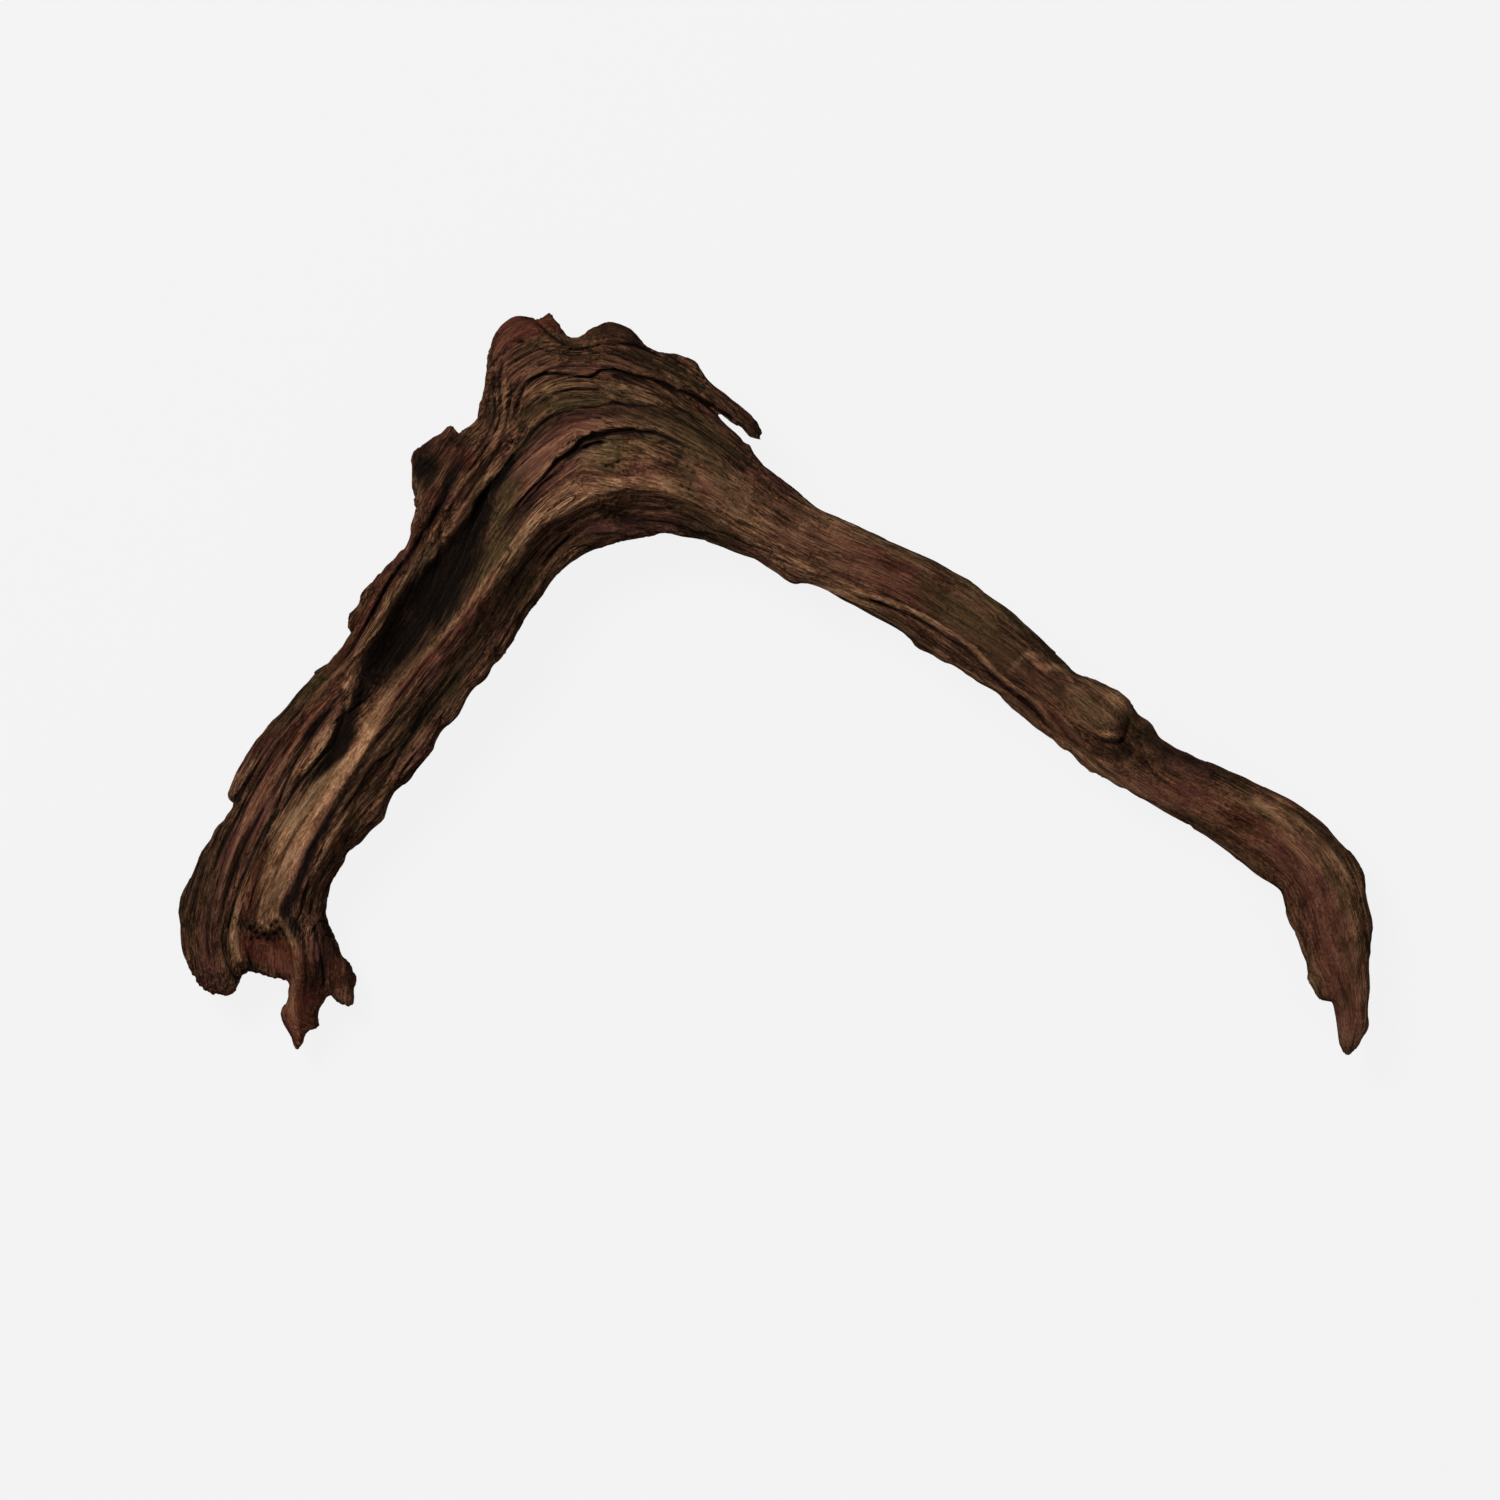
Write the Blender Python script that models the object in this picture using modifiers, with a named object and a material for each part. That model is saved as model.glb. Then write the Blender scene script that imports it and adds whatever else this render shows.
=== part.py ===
"""A weathered branch of driftwood that lies on its side: one piece of wood, bent like an arch.

The plan is drawn in millimetres, with X to the right, Y up the page and Z up from the ground.
Ribs cross the grain, from the outer edge of the bend to its inner edge, and the wood is lofted
through them. The prongs of the broken foot, the splinter and the flakes are lofted in the same
way and fused with the trunk. Ridges, hollows, steps and cracks are then carved along the grain,
and the low points are worn flat where the branch rests.
"""

import math
from collections import namedtuple

import bmesh
import bpy
import numpy as np
from mathutils import Vector, noise

SPAN = 0.477  # overall width of the branch, from the foot to the outside of the far tip
DRAWN_SPAN = 477.0  # the same width in the drawing below, so one drawn unit is 1 mm
UNIT = SPAN / DRAWN_SPAN

VOXEL = 1.5 * UNIT  # grain of the clay that the lofts are fused into
SECTION_POINTS = 64  # points round one section of a loft
SECTION_FULLNESS = 0.85  # below 1 a section is squarer than an ellipse
STEPS_PER_RIB = 5  # sections between two drawn ribs
STEPS_PER_MARK = 8  # samples between two drawn points of a carved line
STEP_SLOPE = 2.0  # half the width, in mm, of the slope that joins the two sides of a step
FACING_FADE = 0.4  # upright part of the normal at which a carved line reaches its full depth
RUBBING_PASSES = 2  # smoothing of the carved surface
RUBBING_STRENGTH = 0.5
SOLID_FACES = 9400  # triangles of the finished solid

STRAND_WIDTH = 7.0  # width of one strand of weathered grain
STRAND_LENGTH = 70.0  # distance over which a strand fades into the next
STRAND_RELIEF = 1.3  # height of a strand above the furrow beside it
LUMP_SIZE = 26.0  # size of the broad unevenness under the strands
LUMP_RELIEF = 1.1

GROUND = "ground"
GROUND_DEPTH = 0.1 * SPAN

WOOD_COLOR = (0.058, 0.029, 0.016, 1.0)  # dark red brown, soaked and dried
WOOD_ROUGHNESS = 0.72

# outer and inner are the two ends of a rib in plan. level is the height of both above the
# ground, rise is the wood above that level and drop is the wood below it.
Rib = namedtuple("Rib", "outer inner level rise drop")

TRUNK = (
    Rib((-231, -114.5), (-184, -114.5), 18, 5, 8),
    Rib((-235, -109), (-181, -106), 18, 10, 12),
    Rib((-237, -100), (-180, -96), 18, 14, 16),
    Rib((-238, -88), (-181, -86), 18, 17, 19),
    Rib((-230, -70), (-174, -71), 19, 19, 19.6),
    Rib((-220.5, -53), (-162, -57), 21, 20, 19),
    Rib((-214.5, -38), (-152, -43), 23, 20, 19),
    Rib((-205.5, -19), (-141.5, -32), 25, 20, 19),
    Rib((-190, -1), (-134, -19.5), 26, 20, 19),
    Rib((-175.5, 11), (-124, -7), 27, 19, 19),
    Rib((-168, 27), (-115, 4), 28, 19, 19),
    Rib((-159, 43.5), (-106.5, 16), 29, 19, 19),
    Rib((-146.5, 56), (-99.5, 28), 29, 20, 20),
    Rib((-143.5, 72), (-92, 38.5), 29, 21, 21),
    Rib((-146, 89), (-84.5, 46.5), 28, 22, 22),
    Rib((-131.5, 99.5), (-79, 51.5), 27, 23, 22),
    Rib((-120.5, 104.5), (-71.5, 55.5), 26, 24, 23),
    Rib((-116.5, 118.5), (-65, 57), 25, 25, 24),
    Rib((-115, 135), (-58.5, 58.5), 24, 25, 24.6),
    Rib((-105, 148), (-51.5, 59), 24, 24, 25),
    Rib((-93, 145.5), (-46, 61.5), 24, 24, 25),
    Rib((-80, 139), (-40, 61), 25, 24, 25),
    Rib((-67, 146), (-34, 60.5), 25, 24, 24),
    Rib((-53, 137.5), (-28, 58), 26, 23, 22),
    Rib((-34, 118), (-20.5, 55), 27, 22, 20),
    Rib((-19.5, 102.5), (-16, 53.5), 28, 20, 18),
    Rib((-6, 90), (-10, 51), 29, 18, 17),
    Rib((9, 77), (0, 45.5), 30, 16, 16),
    Rib((25, 68), (11.5, 41), 31, 15, 15),
    Rib((40.5, 61), (27, 38), 31, 14, 14),
    Rib((57, 53), (41.5, 29), 32, 14, 14),
    Rib((71.5, 45), (55.5, 20), 32, 14, 14),
    Rib((85.5, 36.5), (69, 11.5), 32, 14, 14),
    Rib((99, 24), (83.5, 5), 31, 14, 13.5),
    Rib((113, 11), (97, -4), 30, 14, 13.5),
    Rib((126, 3), (109.5, -15.5), 29, 15, 13),
    Rib((140, -5), (122, -26.5), 27, 15, 13),
    Rib((150, -15), (134, -39), 24, 13, 13),
    Rib((162, -27), (149, -47), 21, 12, 13),
    Rib((178, -32.5), (165, -55.5), 18, 12.5, 13),
    Rib((195, -39.5), (179, -65), 16, 13.5, 14),
    Rib((211, -48), (192.5, -76), 14.5, 14, 14.5),
    Rib((224, -60.5), (202, -84), 14, 14, 14.9),
    Rib((235, -74.5), (205, -93), 14, 13, 14.4),
    Rib((237.5, -90), (209, -102.5), 15, 12, 12.5),
    Rib((238, -103), (213.5, -112), 16, 11, 11),
    Rib((238, -117), (217, -121), 17, 9, 9),
    Rib((237, -130), (224, -131), 18, 7, 7),
    Rib((235, -140), (225.5, -141), 18.5, 5, 5),
    Rib((231, -147), (227, -147.5), 19, 2, 2),
)

# The foot is broken across the grain: a blunt heel outside and two prongs inside.
HEEL = (
    Rib((-238, -92), (-208, -90), 19, 14, 17),
    Rib((-237.5, -104), (-209, -103), 18, 13, 16),
    Rib((-235, -114), (-212, -113), 18, 11, 12),
    Rib((-230, -122), (-215.5, -122), 18, 7, 7),
    Rib((-225, -124.5), (-219, -124.5), 18, 3, 3),
)
MIDDLE_PRONG = (
    Rib((-204, -96), (-179, -94), 20, 13, 14),
    Rib((-199, -108), (-179, -107), 20, 11, 12),
    Rib((-194.5, -118), (-179, -117), 19, 9, 10),
    Rib((-194.5, -125), (-181, -124), 17, 7.5, 8),
    Rib((-197.5, -131.5), (-182, -133), 16, 6, 6.5),
    Rib((-195, -138), (-185, -138.5), 15, 3.5, 4),
    Rib((-192.5, -144.5), (-190, -145), 15, 1.4, 1.4),
)
INNER_PRONG = (
    Rib((-188, -88), (-179.5, -86), 19, 9, 12),
    Rib((-186, -101), (-177, -98), 17, 10, 12),
    Rib((-182, -113), (-170, -109), 14, 9, 10),
    Rib((-180, -121), (-167.5, -117), 12, 6, 7),
    Rib((-174, -127.5), (-169, -127), 11, 3, 3.5),
)
# A long sliver of the outermost wood that has sprung away from the crown.
SPLINTER = (
    Rib((-58, 136), (-50, 122), 33, 8, 9),
    Rib((-44, 132), (-38, 118), 34, 7, 8),
    Rib((-34, 128.5), (-31, 115), 34, 6, 7),
    Rib((-23.5, 118.5), (-27, 112), 33, 5, 6),
    Rib((-14.5, 110.5), (-18.5, 106.5), 32, 4, 5),
    Rib((-8, 103.5), (-11.5, 101), 31, 3, 3.5),
    Rib((-6, 99), (-8.5, 98), 30, 2, 2),
)
CROWN_SPIKE = (
    Rib((-97, 143), (-84, 141), 26, 6, 7),
    Rib((-95, 147), (-86, 144), 26, 4, 5),
    Rib((-91.5, 149.5), (-89, 149), 26, 1.6, 2),
)
EAR_HOOK = (
    Rib((-144, 92), (-138, 86), 28, 8, 8),
    Rib((-138.5, 99.5), (-132, 93), 29, 6, 7),
    Rib((-131.5, 104), (-128, 98.5), 29, 4, 5),
    Rib((-128, 103.5), (-127, 100), 29, 2, 2),
)
EDGE_NIB = (
    Rib((-160, 41), (-155, 37), 30, 5, 5),
    Rib((-170, 31), (-163, 25), 30, 4, 5),
    Rib((-171, 23), (-167, 21), 30, 2, 3),
)
EDGE_FLAKE = (
    Rib((-207, -20), (-201, -24), 26, 5, 6),
    Rib((-213.5, -30), (-207, -33), 25, 4, 5),
    Rib((-218, -41), (-212, -42), 24, 2.5, 4),
    Rib((-219, -45.5), (-216, -46), 24, 1.4, 2),
)
# A thin shard that stands up along the furrow of the near limb.
FACE_SHARD = (
    Rib((-171, -3), (-168, -4), 44, 2, 6),
    Rib((-178, -15), (-173, -17), 45, 3, 8),
    Rib((-182.5, -23), (-176, -26), 45, 3, 8),
    Rib((-189, -35), (-185.5, -37), 43, 2, 6),
)
TIP_NOTCH = (
    Rib((222, -103), (212, -105), 16, 7, 7),
    Rib((224, -114), (214.5, -118), 16, 6, 6),
    Rib((224, -122), (217.5, -124), 17, 4, 4),
    Rib((223, -127), (220, -127.5), 17, 1.5, 1.5),
)
# A second strand of wood that runs along the inner edge of the far limb.
LOWER_STRAND = (
    Rib((10, 54), (4, 44.5), 30, 8, 9),
    Rib((27, 48), (19.5, 38), 30, 7, 8),
    Rib((48, 36), (40, 27), 30, 7, 8),
    Rib((65, 25), (57, 16.5), 30, 7, 8),
    Rib((83, 10.5), (76, 4.5), 29, 7, 8),
    Rib((100, -3), (93, -8.5), 27, 7, 8),
    Rib((116, -18), (110, -22.5), 24, 7, 8),
    Rib((133, -31), (127, -34), 22, 6, 7),
)
LOFTS = (
    ("trunk", TRUNK),
    ("heel", HEEL),
    ("middle_prong", MIDDLE_PRONG),
    ("inner_prong", INNER_PRONG),
    ("splinter", SPLINTER),
    ("crown_spike", CROWN_SPIKE),
    ("ear_hook", EAR_HOOK),
    ("edge_nib", EDGE_NIB),
    ("edge_flake", EDGE_FLAKE),
    ("face_shard", FACE_SHARD),
    ("tip_notch", TIP_NOTCH),
    ("lower_strand", LOWER_STRAND),
)

# A carved line follows the grain in plan. Each of its points has x, y, how much wood is raised
# or cut away there, and how far that reaches to the side.
Line = namedtuple("Line", "shape face points")
RIDGE, HOLLOW, CRACK, STEP = "ridge", "hollow", "crack", "step"
TOP, UNDER = 1, -1

CARVED_LINES = (
    # The crest that runs from the foot, round the inside of the bend and out along the far limb.
    Line(RIDGE, TOP, ((-196, -98, 0, 3), (-190, -84, 3, 3), (-181, -66, 4, 3), (-172, -46, 4, 3),
                      (-161, -24, 4, 3), (-150, -8, 4, 3), (-134, 12, 5, 3), (-118, 34, 5, 3),
                      (-102, 56, 5, 3), (-86, 70, 5, 3.5), (-70, 77, 5, 4), (-50, 79, 5, 4),
                      (-30, 75, 4, 4), (-12, 68, 3, 4), (6, 56, 2, 3), (22, 44, 0, 3))),
    # The cove under that crest, on the side of the belly.
    Line(HOLLOW, TOP, ((-184, -92, 2, 5), (-174, -66, 5, 6), (-160, -40, 6, 6), (-148, -20, 6, 6),
                       (-135, -4, 6, 6), (-120, 16, 7, 6), (-104, 38, 7, 6), (-90, 54, 7, 6),
                       (-74, 65, 7, 5.5), (-52, 69, 7, 5), (-30, 66, 6, 5), (-10, 58, 4, 4),
                       (4, 50, 0, 4))),
    # The deep hollow of the near limb, and the worn trough that leads out of it to the foot.
    Line(HOLLOW, TOP, ((-113, 84, 0, 5), (-119, 72, 8, 7), (-127, 56, 15, 10), (-138, 38, 18, 12),
                       (-149, 18, 18, 11.5), (-158, 4, 13, 9.5), (-167, -14, 7, 8),
                       (-177, -38, 5, 7.5), (-187, -62, 5, 7), (-197, -86, 5, 6),
                       (-203, -98, 4, 6))),
    # The cleft between the neck of the crown and that hollow.
    Line(HOLLOW, TOP, ((-98, 104, 0, 2.5), (-106, 94, 5, 3), (-114, 83, 8, 3.5),
                       (-119, 71, 6, 4), (-124, 60, 0, 4))),
    # The ridge outside the hollow, and the next one beyond it.
    Line(RIDGE, TOP, ((-120, 78, 0, 2.5), (-128, 66, 3.5, 2.5), (-139, 54, 4.5, 3),
                      (-151, 39, 5, 3), (-163, 19, 5, 3), (-171, 4, 4, 3), (-177, -8, 0, 3))),
    Line(RIDGE, TOP, ((-136, 72, 0, 2), (-142, 62, 2.5, 2), (-151, 48, 3, 2), (-161, 33, 3, 2),
                      (-172, 13, 2, 2), (-184, -3, 0, 2))),
    # The furrow beside the heel, with the sharp edge of the trough next to it.
    Line(CRACK, TOP, ((-170, -4, 0, 2), (-179, -19, 4, 2.5), (-189, -35, 6, 3.5),
                      (-200, -53, 6, 4), (-208, -68, 6, 4), (-213, -85, 6, 4), (-216, -102, 4, 4),
                      (-217, -110, 0, 4))),
    Line(RIDGE, TOP, ((-186, -36, 0, 2), (-196, -50, 3, 2), (-204, -66, 3, 2), (-209, -82, 3, 2),
                      (-211, -94, 3, 2), (-212, -106, 0, 2))),
    # The rounded back of the heel and the furrows that run down it.
    Line(RIDGE, TOP, ((-200, -14, 0, 4), (-209, -36, 3, 5), (-219, -60, 4, 6), (-227, -88, 4, 6),
                      (-226, -112, 0, 5))),
    Line(CRACK, TOP, ((-186, -2, 0, 2), (-196, -22, 2.5, 2.5), (-206, -46, 3, 3),
                      (-215, -70, 3, 3), (-220, -94, 2, 3), (-220, -110, 0, 2))),
    # The scoop where the foot has broken away below the pith.
    Line(HOLLOW, TOP, ((-210, -101, 5, 5), (-204, -107, 8, 7), (-198, -103, 5, 5))),
    # The cracks between the growth layers of the crown, from the outside in.
    Line(CRACK, TOP, ((-106, 92, 0, 1.5), (-103, 110, 4, 2), (-99, 119, 4, 2.4), (-89, 123, 4, 2.6),
                      (-69, 123, 4, 2.6), (-55, 123, 4, 2.6), (-42, 119, 5, 2.8), (-30, 112, 7, 3),
                      (-24, 108, 8, 3))),
    Line(CRACK, TOP, ((-108, 87, 0, 1.5), (-99, 97, 4, 2.2), (-91, 106, 4.5, 2.6),
                      (-77, 111, 4.5, 2.6), (-60, 111, 4, 2.4), (-44, 108, 3, 2),
                      (-28, 101, 0, 2))),
    Line(CRACK, TOP, ((-108, 66, 0, 2), (-99, 74, 5, 2.8), (-89, 84, 7, 3.2), (-79, 93, 8, 3.4),
                      (-68, 99, 8, 3.2), (-55, 100, 7, 3), (-42, 98, 5, 2.6), (-29, 91, 0, 2))),
    # The growth layer outside the first of those cracks stands higher than the ones inside.
    Line(STEP, TOP, ((-103, 110, 0, 9), (-99, 119, 1, 11), (-89, 123, 1.8, 12),
                     (-69, 123, 1.8, 12), (-55, 123, 1.8, 12), (-42, 119, 1.5, 11),
                     (-30, 112, 0, 9))),
    # The folds of the neck, which turn down from the crown into the near limb.
    Line(RIDGE, TOP, ((-103, 138, 0, 2.5), (-109, 124, 3, 3), (-111, 108, 3.5, 3),
                      (-117, 96, 3.5, 3), (-125, 84, 3, 3), (-132, 74, 0, 2.5))),
    Line(HOLLOW, TOP, ((-97, 134, 0, 2.5), (-103, 120, 2.5, 2.8), (-106, 104, 3.5, 2.8),
                       (-112, 92, 3.5, 2.8), (-121, 80, 2, 2.8), (-126, 72, 0, 2.5))),
    Line(HOLLOW, TOP, ((-110, 130, 0, 2), (-114, 114, 2, 2.5), (-119, 102, 3, 2.5),
                       (-126, 92, 3, 2.5), (-131, 84, 0, 2))),
    # The bowl of the ear.
    Line(HOLLOW, TOP, ((-130, 96, 2, 4), (-136, 90, 8, 6), (-137, 80, 6, 5.5), (-137, 73, 0, 4))),
    # The saddle between the two knobs of the crown.
    Line(HOLLOW, TOP, ((-80, 141, 5, 6), (-80, 133, 3, 6), (-77, 127, 0, 5))),
    # The slit of the far limb, under the lip that overhangs it.
    Line(CRACK, TOP, ((26, 42, 0, 2), (40, 36, 4, 2.6), (56, 27, 5, 3), (72, 16, 6, 3.2),
                      (88, 4, 6, 3.2), (102, -8, 5, 3.2), (112, -18, 4, 2.8), (120, -25, 0, 2))),
    # The upper face of the far limb falls away in a bevel.
    Line(RIDGE, TOP, ((14, 66, 0, 3), (32, 57, 1.5, 3.5), (54, 47, 2, 3.5), (74, 36, 2, 3.5),
                      (90, 22, 1.5, 3), (104, 8, 0, 3))),
    # The knot of the far limb, its blunt end, and the hollow that it overhangs.
    Line(HOLLOW, TOP, ((98, 14, 0, 5), (104, 4, 2.5, 6), (110, -4, 0, 5))),
    Line(RIDGE, TOP, ((110, 3, 0, 6), (122, -5, 2.5, 7), (133, -12, 3, 7), (138, -17, 0, 5))),
    Line(STEP, TOP, ((119, -17, 0, 5), (128, -21, 2, 6), (136, -21, 2.5, 7), (140, -15, 2.5, 6),
                     (143, -8, 0, 4))),
    Line(HOLLOW, TOP, ((133, -26, 1, 4), (144, -24, 4, 6), (158, -34, 4, 6), (172, -41, 0, 5))),
    Line(RIDGE, TOP, ((176, -42, 0, 5), (194, -50, 2, 6), (212, -66, 3, 7), (222, -86, 3, 7),
                      (227, -106, 2, 5), (230, -130, 1, 3), (230, -144, 0, 2))),
    # The underside: two long gutters, with ridges and shakes between them.
    Line(HOLLOW, UNDER, ((-206, -96, 0, 6), (-200, -76, 4, 7), (-184, -44, 7, 8), (-166, -14, 8, 8),
                         (-150, 12, 8, 8), (-134, 36, 9, 9), (-118, 62, 9, 10), (-102, 82, 8, 10),
                         (-78, 92, 3, 8), (-64, 94, 0, 8))),
    Line(HOLLOW, UNDER, ((-62, 76, 0, 6), (-44, 78, 5, 7), (-20, 72, 6, 6), (6, 58, 5, 5),
                         (34, 46, 4, 4), (64, 30, 4, 4), (92, 8, 3, 4), (116, -10, 0, 4))),
    Line(CRACK, UNDER, ((-112, 96, 0, 2), (-104, 116, 5, 3), (-86, 128, 6, 3), (-62, 126, 6, 3),
                        (-42, 116, 4, 3), (-24, 98, 0, 2))),
    Line(CRACK, UNDER, ((-160, -44, 0, 2), (-146, -24, 5, 3), (-130, -2, 6, 3), (-114, 22, 6, 3),
                        (-100, 44, 4, 3), (-88, 58, 0, 2))),
    Line(RIDGE, UNDER, ((-186, -8, 0, 3), (-170, 16, 3, 4), (-154, 42, 3, 4), (-140, 66, 0, 3))),
    Line(CRACK, UNDER, ((140, -20, 0, 2), (158, -38, 3, 2.5), (178, -50, 4, 3), (196, -62, 0, 2))),
)


def smoothed(rows, steps):
    """Rows read from a Catmull-Rom curve through the drawn rows."""
    drawn = np.array(rows, float)
    ends = np.vstack([2 * drawn[0] - drawn[1], drawn, 2 * drawn[-1] - drawn[-2]])
    read = []
    for i in range(len(drawn) - 1):
        a, b, c, d = ends[i : i + 4]
        for t in np.arange(steps) / steps:
            bend = (2 * a - 5 * b + 4 * c - d) * t**2 + (3 * b - a - 3 * c + d) * t**3
            read.append(b + ((c - a) * t + bend) / 2)
    read.append(drawn[-1])
    return np.array(read)


def section(row):
    """The closed outline of the wood at one rib, from the outer edge over the top and back."""
    outer, inner, level, rise, drop = row[0:2], row[2:4], row[4], row[5], row[6]
    middle, half = (outer + inner) / 2, (outer - inner) / 2
    ring = []
    for i in range(SECTION_POINTS):
        turn = 2 * math.pi * i / SECTION_POINTS
        across, up = math.cos(turn), math.sin(turn)
        height = abs(up) ** SECTION_FULLNESS * (rise if up > 0 else -drop)
        x, y = middle + half * across
        ring.append(Vector((x, y, level + height)) * UNIT)
    return ring


def loft(name, ribs):
    """One closed body through the ribs, with a flat cap at each end."""
    rows = smoothed([(*r.outer, *r.inner, r.level, r.rise, r.drop) for r in ribs], STEPS_PER_RIB)
    bm = bmesh.new()
    rings = [[bm.verts.new(point) for point in section(row)] for row in rows]
    for ring, following in zip(rings, rings[1:]):
        for i in range(SECTION_POINTS):
            j = (i + 1) % SECTION_POINTS
            bm.faces.new((ring[i], ring[j], following[j], following[i]))
    bm.faces.new(rings[0])
    bm.faces.new(rings[-1])
    bmesh.ops.recalc_face_normals(bm, faces=bm.faces)
    mesh = bpy.data.meshes.new(name)
    bm.to_mesh(mesh)
    bm.free()
    return mesh


def fused(name, meshes):
    """The lofts joined in one object and remeshed, which makes one skin of them."""
    bm = bmesh.new()
    for mesh in meshes:
        bm.from_mesh(mesh)
        bpy.data.meshes.remove(mesh)
    joined = bpy.data.meshes.new(name)
    bm.to_mesh(joined)
    bm.free()
    obj = bpy.data.objects.new(name, joined)
    remesh = obj.modifiers.new("fuse", "REMESH")
    remesh.mode = "VOXEL"
    remesh.voxel_size = VOXEL
    return obj


def bake(obj):
    """Puts the result of the object's modifiers in its mesh, and removes them."""
    bpy.context.view_layer.update()
    graph = bpy.context.evaluated_depsgraph_get()
    result = bpy.data.meshes.new_from_object(obj.evaluated_get(graph))
    drawn = obj.data
    obj.modifiers.clear()
    obj.data = result
    bpy.data.meshes.remove(drawn)


def points_and_normals(mesh):
    """Drawn positions, in millimetres, and unit normals of the mesh's points."""
    points = np.empty(len(mesh.vertices) * 3, np.float32)
    normals = np.empty(len(mesh.vertices) * 3, np.float32)
    mesh.vertices.foreach_get("co", points)
    mesh.vertices.foreach_get("normal", normals)
    return points.reshape(-1, 3).astype(float) / UNIT, normals.reshape(-1, 3).astype(float)


def nearest_marks(plan, marks):
    """For each point in plan: its nearest mark, the distance, and the side of the line it is on."""
    offsets = plan[:, None, :] - marks[None, :, :2]
    nearest = (offsets**2).sum(axis=2).argmin(axis=1)
    offset = offsets[np.arange(len(plan)), nearest]
    steps = np.gradient(marks[:, :2], axis=0)
    reach = np.linalg.norm(steps, axis=1)[nearest]
    direction = steps[nearest] / reach[:, None]
    # The line goes on for half a step each way from the mark.
    onward = np.clip((offset * direction).sum(axis=1), -reach / 2, reach / 2)
    distance = np.linalg.norm(offset - onward[:, None] * direction, axis=1)
    left = np.sign(direction[:, 0] * offset[:, 1] - direction[:, 1] * offset[:, 0])
    return nearest, distance, left


def relief_of(line, plan):
    """Height that one carved line adds at each point in plan, below zero where it cuts."""
    marks = smoothed(line.points, STEPS_PER_MARK)
    nearest, distance, left = nearest_marks(plan, marks)
    amount, reach = np.maximum(marks[nearest, 2], 0), marks[nearest, 3]
    share = distance / reach
    if line.shape == RIDGE:
        return amount * np.exp(-share)
    if line.shape == HOLLOW:
        return -amount * np.exp(-(share**2))
    if line.shape == CRACK:
        return -amount * np.clip(1 - share, 0, 1)
    # A step stands high on the left of its line and low on the right, with a slope between.
    return amount * np.exp(-share) * left * np.clip(distance / STEP_SLOPE, 0, 1)


def carve_lines(points, normals):
    """Moves the points up or down by every carved line, each on its own face of the wood."""
    for line in CARVED_LINES:
        facing = np.clip(normals[:, 2] * line.face / FACING_FADE, 0, 1)
        points[:, 2] += line.face * facing * relief_of(line, points[:, :2])


def grain_frame(points):
    """Distance along the branch, and the place across it, of each point: the wood unbent."""
    rows = smoothed([(*r.outer, *r.inner) for r in TRUNK], STEPS_PER_RIB)
    spine = (rows[:, :2] + rows[:, 2:]) / 2
    run = np.concatenate([[0], np.cumsum(np.linalg.norm(np.diff(spine, axis=0), axis=1))])
    nearest, distance, left = nearest_marks(points[:, :2], spine)
    return run[nearest], distance * left


def carve_grain(points, normals):
    """Raises strands along the grain, over a broad unevenness."""
    along, across = grain_frame(points)
    for i, (x, y, z) in enumerate(points):
        lumps = noise.noise(Vector((x, y, z)) / LUMP_SIZE)
        place = Vector((along[i] / STRAND_LENGTH, across[i] / STRAND_WIDTH, z / STRAND_WIDTH))
        strands = 1 - 2 * abs(noise.noise(place))
        points[i] += normals[i] * (LUMP_RELIEF * lumps + STRAND_RELIEF * (strands - 0.5))


def carve(mesh):
    """Carves the fused wood: the lines first, then the grain over all of it, then rubs it down."""
    points, normals = points_and_normals(mesh)
    carve_lines(points, normals)
    carve_grain(points, normals)
    mesh.vertices.foreach_set("co", (points * UNIT).astype(np.float32).ravel())
    bm = bmesh.new()
    bm.from_mesh(mesh)
    for _ in range(RUBBING_PASSES):
        bmesh.ops.smooth_vert(bm, verts=bm.verts, factor=RUBBING_STRENGTH,
                              use_axis_x=True, use_axis_y=True, use_axis_z=True)
    bm.to_mesh(mesh)
    bm.free()


def thin_out(obj):
    """Collapses the mesh to its budget of triangles, most of them left where it is sharp."""
    triangles = len(obj.data.loop_triangles)
    decimate = obj.modifiers.new("thin_out", "DECIMATE")
    decimate.ratio = SOLID_FACES / triangles
    bake(obj)


def wear_flat(obj):
    """Cuts off what is below the ground, which leaves a flat spot at each low point."""
    bpy.ops.mesh.primitive_cube_add(size=1)
    ground = bpy.context.active_object
    ground.name = GROUND
    ground.scale = (2 * SPAN, 2 * SPAN, GROUND_DEPTH)
    ground.location.z = -GROUND_DEPTH / 2
    cut = obj.modifiers.new("worn_flat", "BOOLEAN")
    cut.operation = "DIFFERENCE"
    cut.object = ground
    bake(obj)
    bpy.data.objects.remove(ground)


def centre_in_plan(obj):
    """Moves the mesh so that the middle of its plan is over the origin."""
    corners = np.array([v.co for v in obj.data.vertices])
    middle = (corners.min(axis=0) + corners.max(axis=0)) / 2
    for vertex in obj.data.vertices:
        vertex.co.x -= middle[0]
        vertex.co.y -= middle[1]


def weathered_wood():
    """The plain material of the solid."""
    material = bpy.data.materials.new("weathered_wood")
    material.use_nodes = True
    shader = material.node_tree.nodes["Principled BSDF"]
    shader.inputs["Base Color"].default_value = WOOD_COLOR
    shader.inputs["Roughness"].default_value = WOOD_ROUGHNESS
    shader.inputs["Metallic"].default_value = 0.0
    return material


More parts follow.
